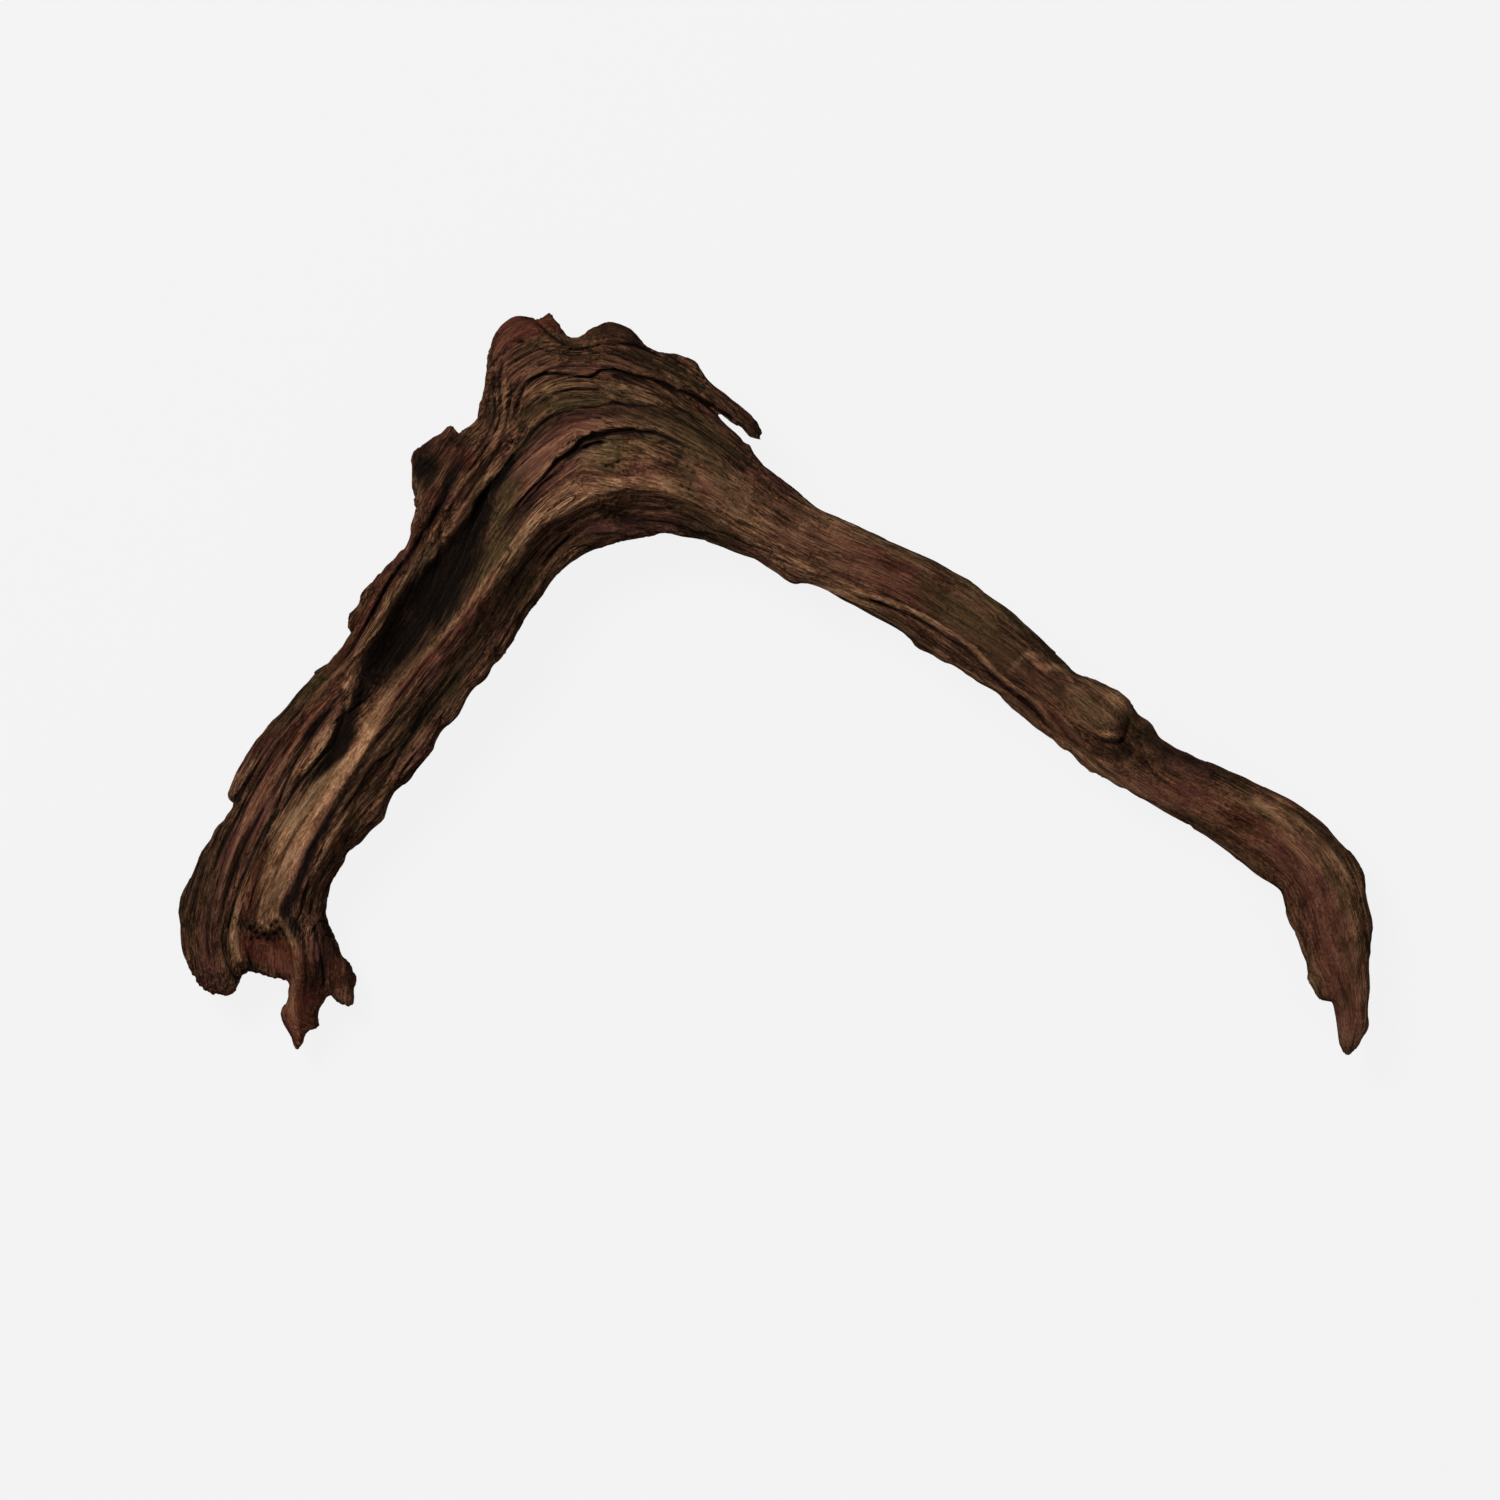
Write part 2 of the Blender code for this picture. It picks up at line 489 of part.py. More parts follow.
def main():
    for obj in list(bpy.data.objects):
        bpy.data.objects.remove(obj)
    collection = bpy.data.collections.new("driftwood_branch")
    bpy.context.scene.collection.children.link(collection)

    branch = fused("driftwood", [loft(name, ribs) for name, ribs in LOFTS])
    collection.objects.link(branch)
    bake(branch)
    carve(branch.data)
    thin_out(branch)
    wear_flat(branch)
    centre_in_plan(branch)
    branch.data.materials.clear()
    branch.data.materials.append(weathered_wood())
    branch.data.shade_smooth()


main()
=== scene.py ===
"""The looks of a weathered branch of driftwood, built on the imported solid.

The branch is one piece of wood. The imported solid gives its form, and this script carves that form
finer, along the grain that runs round its bend, and dresses it as old wood that water has worn.
"""

import logging
import math
from dataclasses import dataclass
from enum import Enum
from itertools import product

import bmesh
import bpy
import numpy as np
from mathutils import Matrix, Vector


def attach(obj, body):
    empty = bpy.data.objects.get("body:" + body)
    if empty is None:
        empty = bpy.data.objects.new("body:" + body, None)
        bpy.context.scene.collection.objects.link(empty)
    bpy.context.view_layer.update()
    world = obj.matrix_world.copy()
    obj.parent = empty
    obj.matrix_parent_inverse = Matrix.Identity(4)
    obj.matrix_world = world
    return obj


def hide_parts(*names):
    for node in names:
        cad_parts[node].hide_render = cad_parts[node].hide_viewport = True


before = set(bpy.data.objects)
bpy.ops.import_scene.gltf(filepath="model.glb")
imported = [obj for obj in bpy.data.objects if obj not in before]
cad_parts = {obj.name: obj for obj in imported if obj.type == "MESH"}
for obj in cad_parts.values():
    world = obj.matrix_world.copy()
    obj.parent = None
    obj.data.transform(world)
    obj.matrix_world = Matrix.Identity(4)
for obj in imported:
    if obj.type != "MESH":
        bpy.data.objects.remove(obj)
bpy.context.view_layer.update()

log = logging.getLogger("driftwood")

MM = 0.001
NODE = "driftwood"
BODY = "root"

Points = tuple[tuple[float, ...], ...]


class Face(Enum):
    """The side of the branch that a line is carved or stained on."""

    TOP = "top"
    BOTH = "both"


class Cut(Enum):
    """What a carved line does to the wood beside it."""

    RIDGE = "ridge"
    HOLLOW = "hollow"
    CRACK = "crack"
    FILL = "fill"
    LAYER = "layer"


class Tone(Enum):
    """The colours that weather and wear give the wood in places, and painted shade in its hollows and on
    faces turned from the light.
    """

    WORN = "worn"
    RED = "red"
    MOSS = "moss"
    # Painted shade, near black: hollows, grooves, the shadow beside the lifted plate and faces turned
    # from the light, with a few darker patches of the wood's own tone.
    DARK_AND_SHADE = "shade_black"
    ROSE = "rose"
    ROUGH = "rough"
    SKIN = "skin"


@dataclass(frozen=True)
class CarvedLine:
    """A line along the grain. Each mark is x, y, amount and reach, in millimetres."""

    cut: Cut
    marks: Points
    face: Face = Face.TOP


@dataclass(frozen=True)
class Stain:
    """A stroke of one tone. Each mark is x, y, strength and reach in millimetres."""

    tone: Tone
    marks: Points
    face: Face = Face.TOP


# Each row is a point on the outer edge of the grain and the point across from it on the inner
# edge, from the foot, round the crown, to the tip of the slim limb.
GRAIN_GUIDES: Points = (
    (-235, -124, -184, -126), (-238, -98, -182, -92), (-229, -68, -173, -70),
    (-215, -38, -152, -43), (-200, -14, -139, -28), (-182, 6, -127, -10), (-166, 28, -114, 6),
    (-153, 52, -102, 24), (-144, 76, -91, 39), (-134, 96, -79, 51), (-121, 114, -67, 57),
    (-107, 133, -54, 59.5), (-88, 142, -43, 61), (-66, 140, -33, 60), (-42, 126, -24, 56),
    (-20, 106, -14, 52), (0, 86, -3, 48), (25, 68, 12, 41), (55, 54, 41, 29),
    (85, 36.5, 69, 11.5), (113, 12, 97, -4), (140, -5, 122, -26), (163, -24, 149, -47),
    (190, -37, 174, -62), (214, -50, 196, -79), (232, -70, 205, -94), (238, -100, 213, -112),
    (237, -128, 223, -130), (231, -150, 227, -150),
)

# Small moves of the outline, which the coarser solid rounds off. Each row is x, y, the move in x
# and in y, and how far it reaches, in millimetres.
OUTLINE_MOVES: Points = (
    # The heel, the outer edge of the near limb and the ear with its hook.
    (-229, -68, -1.3, 0.5, 7), (-236, -82, -0.9, 0.2, 7), (-238, -91, -0.5, 0, 6),
    (-223, -58, -0.9, 0.6, 4), (-218.6, -44, -0.8, 0.3, 3), (-217.6, -48, 1.4, -0.8, 2.8),
    (-213, -30, 0.6, -0.3, 4), (-211, -25, 0.4, -0.3, 3), (-202, -15, -0.6, 0.5, 5),
    (-190, -3, -0.4, 0.4, 5), (-183, 6.5, -0.9, 0.9, 5),
    (-177, 12, -0.8, 0.8, 3.4), (-171, 21, 0.9, -0.2, 2), (-168, 32, 1.4, -0.9, 4),
    (-164, 38, -0.9, 0.6, 4), (-154, 49.5, -0.9, 0.5, 5), (-145, 65, -0.8, 0.2, 5),
    (-145.5, 85.5, 1, 0, 4), (-144, 93, -1.8, 1, 4), (-135, 101, 0.5, -0.9, 3),
    (-130.4, 104, 0.4, 1, 2.6), (-127.2, 100.2, -0.4, -2.5, 2.4), (-128.2, 100, -0.9, -2, 1.7),
    # The knobs of the crown, its shoulder and the splinter, with the gap under it.
    (-117, 117.5, -0.5, 0.1, 5), (-110.6, 140, -0.8, 0.5, 5), (-90.4, 148, 0, 1.5, 2.4),
    (-87, 143.5, 0.6, 0.3, 3), (-75, 141.6, -0.4, 1.4, 4), (-67, 144.3, 0, 1, 5),
    (-58, 142, 0.9, 1.1, 5), (-38.7, 132, 0.2, 2, 6), (-31.8, 128.5, 1.5, 2.1, 5),
    (-20, 117, 0.7, 0.8, 4), (-14, 112, 0.8, 1, 4.5), (-9, 107.4, 1, 1.3, 4),
    (-5, 102, 1.4, 0.6, 4), (-23.6, 110.2, -0.5, -0.6, 1),
    (-24.6, 109, 0.5, 0.6, 1), (-21.5, 109.2, -0.4, -0.5, 1.8),
    (-19.3, 108, -0.6, -0.8, 1.8), (-17.1, 106.6, -0.8, -1.05, 1.8),
    (-14.9, 105, -0.7, -0.9, 1.8), (-12.7, 103.3, -0.3, -0.4, 1.8),
    (-10, 101.4, -0.8, -1.4, 2.2), (-6, 99.6, 0, -2.2, 2.7), (-22.8, 106.8, 0.26, 0.3, 1.8),
    (-20.6, 104.6, 0.26, 0.3, 1.8), (-18.4, 102.6, 0.26, 0.3, 1.8), (-16.2, 100.6, 0.4, 0.5, 1.8),
    (-14, 98.6, 0.5, 0.55, 1.8), (-10.5, 95.4, 1, 1.2, 2.2), (-2.5, 86.5, -0.5, -0.6, 5),
    # The inside of the bend and the near limb's inner edge.
    (-94, 36.7, 0.8, -0.9, 5), (-106, 16, 0.3, -0.2, 5), (-112, 7.4, -0.7, 0.4, 4),
    (-121, -3.3, -1.1, 0.8, 5), (-128, -12.7, 0.8, -0.6, 4.5), (-138, -26.8, 0.8, -0.6, 5),
    (-147, -38, 0.7, -0.5, 3),
    (-152.4, -43.4, -0.8, 0.6, 4), (-157.8, -53.7, 1.5, -0.6, 5), (-170, -68, -1.4, 1, 4.4),
    # The broken foot.
    (-179, -92.4, -1.8, 0.3, 5), (-174, -76, -0.5, 0.4, 4), (-178.4, -84, 0.8, 0, 3.4),
    (-176.4, -99, -1, -0.4, 4),
    (-172, -108, -2.9, -1.5, 5), (-168, -114, -1.2, -1, 3), (-167.5, -122, -1.8, 0, 5),
    (-172.4, -127, 0.3, -1.3, 4), (-181, -132, -2.2, 0.2, 4.5), (-187.8, -140.6, -1.4, 3.6, 3.2),
    (-194.5, -136, -1.5, -0.4, 4), (-191.6, -143.5, -0.2, -2.4, 3), (-197, -131, -1.1, 0, 3.5),
    (-200, -116.4, 0, -2, 5), (-204, -116, 0, -1.3, 3),
    (-196, -117.6, 0.2, -2, 3), (-194.5, -121.6, -1, 0, 3.4), (-178, -124, 0, -0.9, 3),
    # The slim limb, its upper edge and then its lower edge, and the tip.
    (18, 71, -0.4, -0.9, 6), (86, 36, -0.7, -1.1, 6), (120.5, 6, -0.8, -1, 5),
    (145.5, -10.4, -1.3, -1.5, 5), (153.7, -20, -0.8, -1, 4.5), (165, -28, 0.6, 1, 5),
    (220, -57, 0.5, 0.6, 6), (230, -68, 0.6, 0.4, 6), (235, -76, 0.6, 0.3, 5), (238, -96, 1.5, 0, 8),
    (237.7, -121, 1, 0, 6), (236.3, -136, 1.3, -0.3, 5), (230, -147, 0, -0.8, 4),
    (-24, 57, -0.3, 0.6, 5), (-14, 53, -0.2, -0.8, 5), (7.2, 41.8, -0.8, -1.6, 6),
    (58, 15.6, -0.9, -1.4, 6),
    (67, 10.5, -0.7, -1, 5), (87, -3.5, 0.8, 1, 5), (110, -22.6, 0.8, 0.9, 5),
    (117.6, -28, 0.6, 0.8, 4), (128, -35, -0.4, -0.9, 5), (201.6, -83, 0.9, 0.8, 5),
    (208, -102, 1.2, 0.2, 5), (214, -118, -1.2, -0.2, 4), (218, -124.6, -0.9, -0.9, 3),
    (221.7, -128, 1.3, 0.8, 2.6),
)

# The solid has its cracks wider than they are, so these lines close them by about half, and the
# thin ones below open them again.
CLOSED_CRACKS: tuple[CarvedLine, ...] = (
    CarvedLine(Cut.FILL, ((-106, 92, 0, 2), (-103, 110, 2, 2.4), (-99, 119, 2, 2.8), (-89, 123, 2, 3),
        (-69, 123, 2, 3), (-55, 123, 2, 3), (-42, 119, 2.4, 3), (-30, 112, 3, 3.2),
        (-24, 108, 1.6, 3.2))),
    CarvedLine(Cut.FILL, ((-108, 87, 0, 2), (-99, 97, 2.2, 2.6), (-91, 106, 2.6, 3), (-77, 111, 2.8, 3),
        (-60, 111, 2.6, 3), (-44, 108, 2, 2.6), (-28, 101, 0, 2.4))),
    CarvedLine(Cut.FILL, ((-108, 66, 0, 2.4), (-99, 74, 3.2, 3.2), (-89, 84, 4.5, 3.6),
        (-79, 93, 4.6, 3.8), (-68, 99, 4.6, 3.6), (-55, 100, 4.4, 3.4), (-42, 98, 3.4, 3),
        (-29, 91, 0, 2.4))),
    CarvedLine(Cut.FILL, ((26, 42, 0, 2.4), (40, 36, 2.4, 3), (56, 27, 3, 3.4), (72, 16, 3.6, 3.6),
        (88, 4, 5.4, 3.6), (102, -8, 5, 3.6), (112, -18, 2.4, 3), (120, -25, 0, 2.4))),
    CarvedLine(Cut.FILL, ((-170, -4, 0, 2.4), (-179, -19, 2, 3), (-189, -35, 3, 4), (-200, -53, 3.4, 4.4),
        (-208, -68, 3.4, 4.4), (-213, -85, 3.2, 4.4), (-216, -102, 1.8, 4.4), (-217, -110, 0, 4))),
)

CARVED_LINES: tuple[CarvedLine, ...] = (
    # The crest, a double edge with a red groove in it, round the inside of the bend.
    CarvedLine(Cut.RIDGE, ((-199, -91, 0, 0.9), (-194, -82, 0.9, 1), (-187, -66, 1, 1), (-175, -44, 1, 1),
        (-160, -21, 1, 1), (-151, -10, 1.1, 1), (-142, 3, 1.2, 1), (-130, 17, 1.2, 1), (-119, 31, 1.2, 1),
        (-108, 48, 1.2, 1), (-97, 63, 1.2, 1.1), (-88, 69.6, 1, 1.2), (-80, 74.6, 0.9, 1.2),
        (-70, 77.4, 0.8, 1.2), (-56, 77.6, 0.8, 1.2), (-48, 76.4, 0.8, 1.2), (-40, 73.4, 0.8, 1.1),
        (-30, 70.4, 0.7, 1.1), (-20, 66.6, 0.6, 1.1), (-12, 63.6, 0, 1))),
    CarvedLine(Cut.CRACK, ((-158, -14, 0, 0.7), (-150, -4, 1.6, 0.9), (-140, 8, 1.8, 1),
        (-130, 19.6, 1.8, 1), (-121, 29.6, 1.6, 0.9), (-113, 43, 1.4, 0.8), (-104, 56, 0, 0.7))),
    CarvedLine(Cut.RIDGE, ((-160, -9, 0, 1), (-152, 1, 0.8, 1.2), (-142, 12, 0.9, 1.2),
        (-132, 23.6, 0.9, 1.2), (-122, 36, 0.8, 1.2), (-112, 50, 0.8, 1.2), (-102, 62, 0, 1))),
    # The ledges of the dark flank under the crest.
    CarvedLine(Cut.LAYER, ((-112, 30, 0, 3), (-104, 44, 0.45, 3.4), (-94, 59, 0.5, 3.4),
        (-80, 69, 0.5, 3), (-70, 71.6, 0.5, 2.6), (-60, 71.8, 0.5, 2.6), (-50, 70.4, 0.5, 2.4),
        (-38, 66.6, 0.4, 2.4), (-22, 60, 0, 2))),
    CarvedLine(Cut.LAYER, ((-104, 32, 0, 3), (-94, 47, 0.4, 3), (-80, 62, 0.45, 3),
        (-66, 66.4, 0.45, 2.4), (-50, 65.8, 0.45, 2.2), (-38, 63, 0.35, 2), (-24, 57, 0, 2))),
    CarvedLine(Cut.RIDGE, ((-100, 54, 0, 0.7), (-90, 65, 0.7, 0.8), (-80, 69.5, 0.8, 0.8),
        (-66, 73, 0.8, 0.8), (-52, 73.4, 0.8, 0.8), (-38, 70, 0.6, 0.8), (-24, 64, 0, 0.7))),
    CarvedLine(Cut.RIDGE, ((-98, 46, 0, 0.7), (-84, 61, 0.7, 0.8), (-72, 67.4, 0.8, 0.8),
        (-58, 68.6, 0.8, 0.8), (-44, 67, 0.6, 0.8), (-28, 61, 0, 0.7))),
    CarvedLine(Cut.CRACK, ((-176, -58, 0, 0.8), (-168, -45, 1.4, 0.9), (-158, -28, 1.6, 0.9),
        (-148, -14, 1.4, 0.9), (-138, -1, 0, 0.8))),
    CarvedLine(Cut.CRACK, ((-166, -54, 0, 0.8), (-156, -38, 1.4, 0.9), (-144, -18, 1.4, 0.9),
        (-130, 0, 1.4, 0.9), (-118, 16, 0, 0.8))),
    # The furrow beside the heel, the plate that lifts over it, and the pale edge at the foot.
    CarvedLine(Cut.CRACK, ((-167, 1, 0, 0.9), (-173.4, -4, 1.2, 0.8), (-179, -11.4, 1.2, 0.7),
        (-184.4, -19, 1.2, 0.7), (-189.6, -28, 1.4, 0.8), (-193, -36, 1.6, 0.9), (-195.6, -42, 1.8, 0.9),
        (-199, -50, 1.8, 0.9), (-204, -58.6, 2, 1), (-209, -70, 2, 1), (-213, -80, 2, 1),
        (-217, -92, 2, 1), (-219, -101, 1.8, 1), (-219.4, -110, 0, 0.9))),
    CarvedLine(Cut.CRACK, ((-169.6, -6, 0, 1), (-172.6, -14, 2.6, 1.4), (-176.4, -23, 3, 1.6),
        (-182.4, -30.4, 2.4, 1.3), (-189.6, -38.4, 1.4, 0.9), (-195.6, -48, 1.4, 0.9),
        (-200, -57, 1.4, 0.9), (-204, -66, 1.2, 0.8), (-209, -80, 0, 0.8))),
    CarvedLine(Cut.RIDGE, ((-169.6, -2, 0, 1), (-173.6, -9, 1, 1.2), (-178.6, -18, 1.2, 1.4),
        (-185.6, -28, 1, 1.1), (-192.4, -39, 0.8, 0.9), (-201, -56, 0.9, 0.9), (-207.4, -68, 1.2, 1),
        (-212, -80, 1.4, 1.1), (-215.4, -92, 1.4, 1.3), (-216.4, -102, 1.4, 1.4),
        (-215, -108.6, 0, 1.2))),
    CarvedLine(Cut.CRACK, ((-203, -68, 0, 0.7), (-207, -78, 1, 0.8), (-210, -88, 1.2, 0.8),
        (-211.6, -98, 0, 0.8))),
    CarvedLine(Cut.CRACK, ((-200.6, -72, 0, 0.6), (-204.6, -83, 0.8, 0.7), (-207, -92, 0.8, 0.7),
        (-208, -97, 0, 0.6))),
    # The streaked face of the heel.
    CarvedLine(Cut.RIDGE, ((-180, -8, 0, 1.2), (-188, -19, 0.8, 1.4), (-196, -31, 1.1, 1.5),
        (-204, -43, 1.1, 1.5), (-212, -57, 1, 1.5), (-218, -72, 0.8, 1.4), (-223, -90, 0, 1.2))),
    CarvedLine(Cut.CRACK, ((-183, -16, 0, 0.8), (-191, -28, 1.1, 0.9), (-198, -39, 1.1, 0.9),
        (-206, -52, 1.3, 0.9), (-213, -66, 1.3, 0.9), (-219, -82, 0, 0.8))),
    CarvedLine(Cut.CRACK, ((-187, -6, 0, 0.8), (-196, -20, 1.2, 0.8), (-205, -34, 1.2, 0.8),
        (-213, -48, 1.2, 0.8), (-221, -64, 1.2, 0.8), (-227, -82, 0, 0.8))),
    CarvedLine(Cut.CRACK, ((-205, -28, 0, 0.9), (-209, -35, 2.6, 1.2), (-215, -44, 3, 1.4),
        (-220, -50, 0, 1.1))),
    CarvedLine(Cut.CRACK, ((-222, -76, 0, 0.7), (-226, -90, 1.4, 0.9), (-227, -104, 1.4, 0.9),
        (-224, -117, 0, 0.8))),
    CarvedLine(Cut.CRACK, ((-230, -80, 0, 0.7), (-232.6, -94, 1.2, 0.9), (-231, -107, 0, 0.8))),
    # The broken foot: a ragged scoop, and the edge that runs down onto the middle prong.
    CarvedLine(Cut.HOLLOW, ((-212, -98, 0, 2), (-208, -99.6, 1, 2.4), (-202, -100.4, 1.1, 2.6),
        (-197, -97.6, 1, 2.2), (-195, -94, 0, 2))),
    CarvedLine(Cut.RIDGE, ((-212, -97, 0, 0.8), (-209, -95.6, 0.8, 0.8), (-204, -95.4, 0.6, 0.8),
        (-199.6, -92.6, 1, 0.9), (-197, -94.4, 1.4, 1), (-193.6, -100, 1.6, 1.1),
        (-191, -106.6, 1.4, 1.1), (-190.6, -113, 1.2, 1.2), (-192.6, -120, 1.2, 1.2),
        (-193.6, -127, 1.2, 1.3), (-194.4, -133, 0.8, 1.2), (-192, -140, 0, 1))),
    CarvedLine(Cut.CRACK, ((-198, -88, 0, 0.9), (-192, -94, 1.8, 1.1), (-189, -101, 2, 1.1),
        (-187.6, -110, 1.8, 1.1), (-188, -122, 1.2, 1), (-188.6, -132, 0, 0.8))),
    CarvedLine(Cut.CRACK, ((-186, -84, 0, 0.8), (-184, -96, 1.2, 0.9), (-182, -106, 1.6, 1),
        (-180.4, -116, 1.8, 1), (-180, -123, 0, 0.9))),
    CarvedLine(Cut.CRACK, ((-181.6, -88, 0, 0.7), (-178, -100, 1, 0.8), (-174, -110, 1, 0.8),
        (-172, -121, 0, 0.7))),
    # The growth layers of the crown: each one ends in a thin edge over a dark crack.
    CarvedLine(Cut.LAYER, ((-107, 97, 0, 3), (-104, 107.5, 0.35, 4), (-100, 119.4, 0.4, 4),
        (-91.5, 123.5, 0.4, 4), (-76, 122.4, 0.4, 4), (-69, 125, 0.45, 4), (-52, 122, 0.5, 4),
        (-37, 117, 0.5, 4), (-24, 109.4, 0, 3))),
    CarvedLine(Cut.CRACK, ((-107, 97, 0, 0.6), (-104, 107.5, 1.8, 0.8), (-101.6, 115, 2, 0.8),
        (-100, 119.4, 2.2, 0.9), (-96, 122, 2.2, 0.9), (-91.5, 123.5, 2.2, 0.8), (-84, 123.3, 2, 0.8),
        (-76, 122.4, 2, 0.8), (-72, 123.2, 2.2, 0.8), (-69, 125, 2.4, 0.8), (-62, 124.2, 2.4, 0.8),
        (-52, 122, 2.6, 0.9), (-45, 120, 2.8, 0.9), (-37, 117, 3.2, 0.9), (-30, 113.5, 4, 1.1),
        (-24, 109.4, 5.4, 1.5), (-19, 106, 6, 1.9))),
    CarvedLine(Cut.CRACK, ((-110, 112, 0, 0.6), (-106.4, 121, 1.2, 0.8), (-102, 125.6, 1.2, 0.8),
        (-96, 127.6, 1, 0.7), (-86, 127, 0.8, 0.7), (-70, 129, 0.8, 0.7), (-50, 126, 0.9, 0.7),
        (-38, 122, 0, 0.6))),
    CarvedLine(Cut.LAYER, ((-88, 134, 0, 2.4), (-80, 134.6, 0.45, 2.6), (-72, 135.6, 0.55, 3),
        (-62, 136.4, 0.6, 3), (-54, 135.6, 0.55, 2.6), (-46, 131.6, 0, 2))),
    CarvedLine(Cut.CRACK, ((-88, 134, 0, 0.7), (-80, 134.2, 1.6, 0.9), (-72, 135.2, 1.6, 0.9),
        (-62, 136, 1.6, 0.9), (-54, 135, 1.8, 0.9), (-46, 131, 1.2, 0.8), (-36, 127.6, 0, 0.7))),
    CarvedLine(Cut.CRACK, ((-97, 147, 0, 0.8), (-94, 143.6, 1.8, 1), (-90, 140, 2, 1),
        (-85, 136.6, 1.2, 0.9), (-80, 134, 0, 0.8))),
    CarvedLine(Cut.CRACK, ((-112, 134, 0, 0.7), (-106, 137.6, 1, 0.8), (-98, 136, 1, 0.8),
        (-90, 133, 0.8, 0.7), (-80, 130.6, 0, 0.7))),
    CarvedLine(Cut.LAYER, ((-107, 88, 0, 3), (-101, 95, 0.3, 3.6), (-91, 105.5, 0.4, 3.6),
        (-80, 110, 0.4, 3.6), (-64, 111.8, 0.4, 3.6), (-45, 110.4, 0.3, 3.6), (-30, 104, 0, 3))),
    CarvedLine(Cut.CRACK, ((-108, 86.6, 0, 0.7), (-101, 95, 1.8, 0.9), (-96, 101, 2, 0.9),
        (-91, 105.5, 2, 0.9), (-85, 108.5, 1.8, 0.8), (-80, 110, 1.4, 0.7), (-70, 110.6, 1.4, 0.7),
        (-64, 112, 1.8, 0.8), (-58, 111, 1.6, 0.8), (-52, 110.6, 1.2, 0.7), (-45, 110.4, 1.2, 0.7),
        (-38, 108, 1, 0.7), (-28, 102.6, 0, 0.6))),
    CarvedLine(Cut.CRACK, ((-104, 104, 0, 0.6), (-99, 110.6, 1, 0.7), (-92, 115, 1, 0.7),
        (-82, 117.4, 0.8, 0.6), (-66, 118, 0.8, 0.6), (-48, 115.4, 0.9, 0.7), (-34, 110, 0, 0.6))),
    CarvedLine(Cut.CRACK, ((-98, 92, 0, 0.6), (-90, 99, 0.9, 0.7), (-80, 104.6, 0.9, 0.7),
        (-66, 106.4, 0.8, 0.6), (-50, 105.6, 0.9, 0.7), (-36, 101, 1, 0.7), (-24, 94, 0, 0.6))),
    CarvedLine(Cut.LAYER, ((-100, 74, 0, 3), (-93, 81, 0.4, 3), (-84, 91, 0.5, 3.4), (-76, 98, 0.6, 3.6),
        (-64, 100.8, 0.55, 3.6), (-48, 100, 0.45, 3.4), (-30, 92, 0, 3))),
    CarvedLine(Cut.CRACK, ((-107.4, 65, 0, 0.7), (-101.6, 72.4, 2.2, 0.9), (-97, 78, 2.4, 0.9),
        (-92, 83, 3, 1), (-88, 87.6, 3.6, 1.1), (-84, 91, 3.6, 1.2), (-80, 93.8, 4, 1.3),
        (-77, 97.2, 4.6, 1.5), (-70, 99, 4.4, 1.3), (-64, 100.2, 3.4, 0.9), (-56, 100.6, 2.8, 0.8),
        (-48, 99.8, 2.4, 0.7), (-42, 97.6, 2, 0.7), (-36, 94.6, 1.6, 0.7), (-29, 91, 0, 0.6))),
    CarvedLine(Cut.CRACK, ((-66, 97.2, 0, 0.7), (-72, 96.2, 2.8, 0.9), (-76, 94.6, 3, 1),
        (-81, 91.6, 1.8, 0.8), (-86, 86.6, 0, 0.7))),
    CarvedLine(Cut.CRACK, ((-101, 70.6, 0, 0.7), (-97, 75.4, 1.8, 0.8), (-92, 80.4, 1.8, 0.8),
        (-87, 84, 1, 0.7), (-82, 86, 0, 0.7))),
    CarvedLine(Cut.CRACK, ((-70, 86, 0, 0.7), (-66, 87.4, 1.4, 0.9), (-61, 89.4, 1.6, 0.9),
        (-56, 89.2, 1.6, 0.8), (-50, 89, 1.2, 0.7), (-45, 87.6, 1.4, 0.8), (-39, 86, 1.6, 0.9),
        (-33, 83, 0, 0.8))),
    CarvedLine(Cut.CRACK, ((-50, 82, 0, 0.6), (-36, 78.4, 0.9, 0.7), (-20, 72, 0.9, 0.7),
        (-2, 62, 0.9, 0.7), (16, 51.4, 0.9, 0.7), (34, 43, 0, 0.6))),
    # The folds of the neck, and the black cleft at its foot.
    CarvedLine(Cut.CRACK, ((-113, 130, 0, 0.7), (-113.6, 120, 1.4, 0.8), (-112.4, 110, 1.6, 0.9),
        (-114.6, 101, 1.6, 0.9), (-121, 91, 1.4, 0.9), (-129, 83, 0, 0.8))),
    CarvedLine(Cut.CRACK, ((-109.6, 131, 0, 0.7), (-110.4, 121, 1.6, 0.9), (-109.4, 110, 1.8, 0.9),
        (-111.4, 101, 1.8, 0.9), (-118, 90, 1.6, 0.9), (-126, 80, 0, 0.8))),
    CarvedLine(Cut.RIDGE, ((-108, 132, 0, 0.8), (-108.6, 121, 0.9, 0.9), (-107.4, 110, 1, 0.9),
        (-109.6, 100, 1.1, 1), (-116, 89, 1.1, 1), (-124, 77, 0, 0.9))),
    CarvedLine(Cut.CRACK, ((-105, 121, 0, 0.7), (-106, 110, 1.6, 0.9), (-108.4, 99, 1.8, 0.9),
        (-114, 88.6, 2, 1), (-121, 77.6, 1.6, 1), (-127, 67, 0, 0.8))),
    CarvedLine(Cut.CRACK, ((-102.6, 93, 0, 0.9), (-105, 89.4, 3.4, 1.3), (-110, 82, 4, 1.6),
        (-115, 76.6, 4, 1.7), (-119, 70.4, 3.4, 1.5), (-122.6, 62, 0, 1.2))),
    CarvedLine(Cut.CRACK, ((-134, 84, 0, 0.8), (-131, 76, 1.8, 1), (-134, 70, 1.8, 1),
        (-139, 60, 0, 0.8))),
    # The splintered ridges outside the deep hollow.
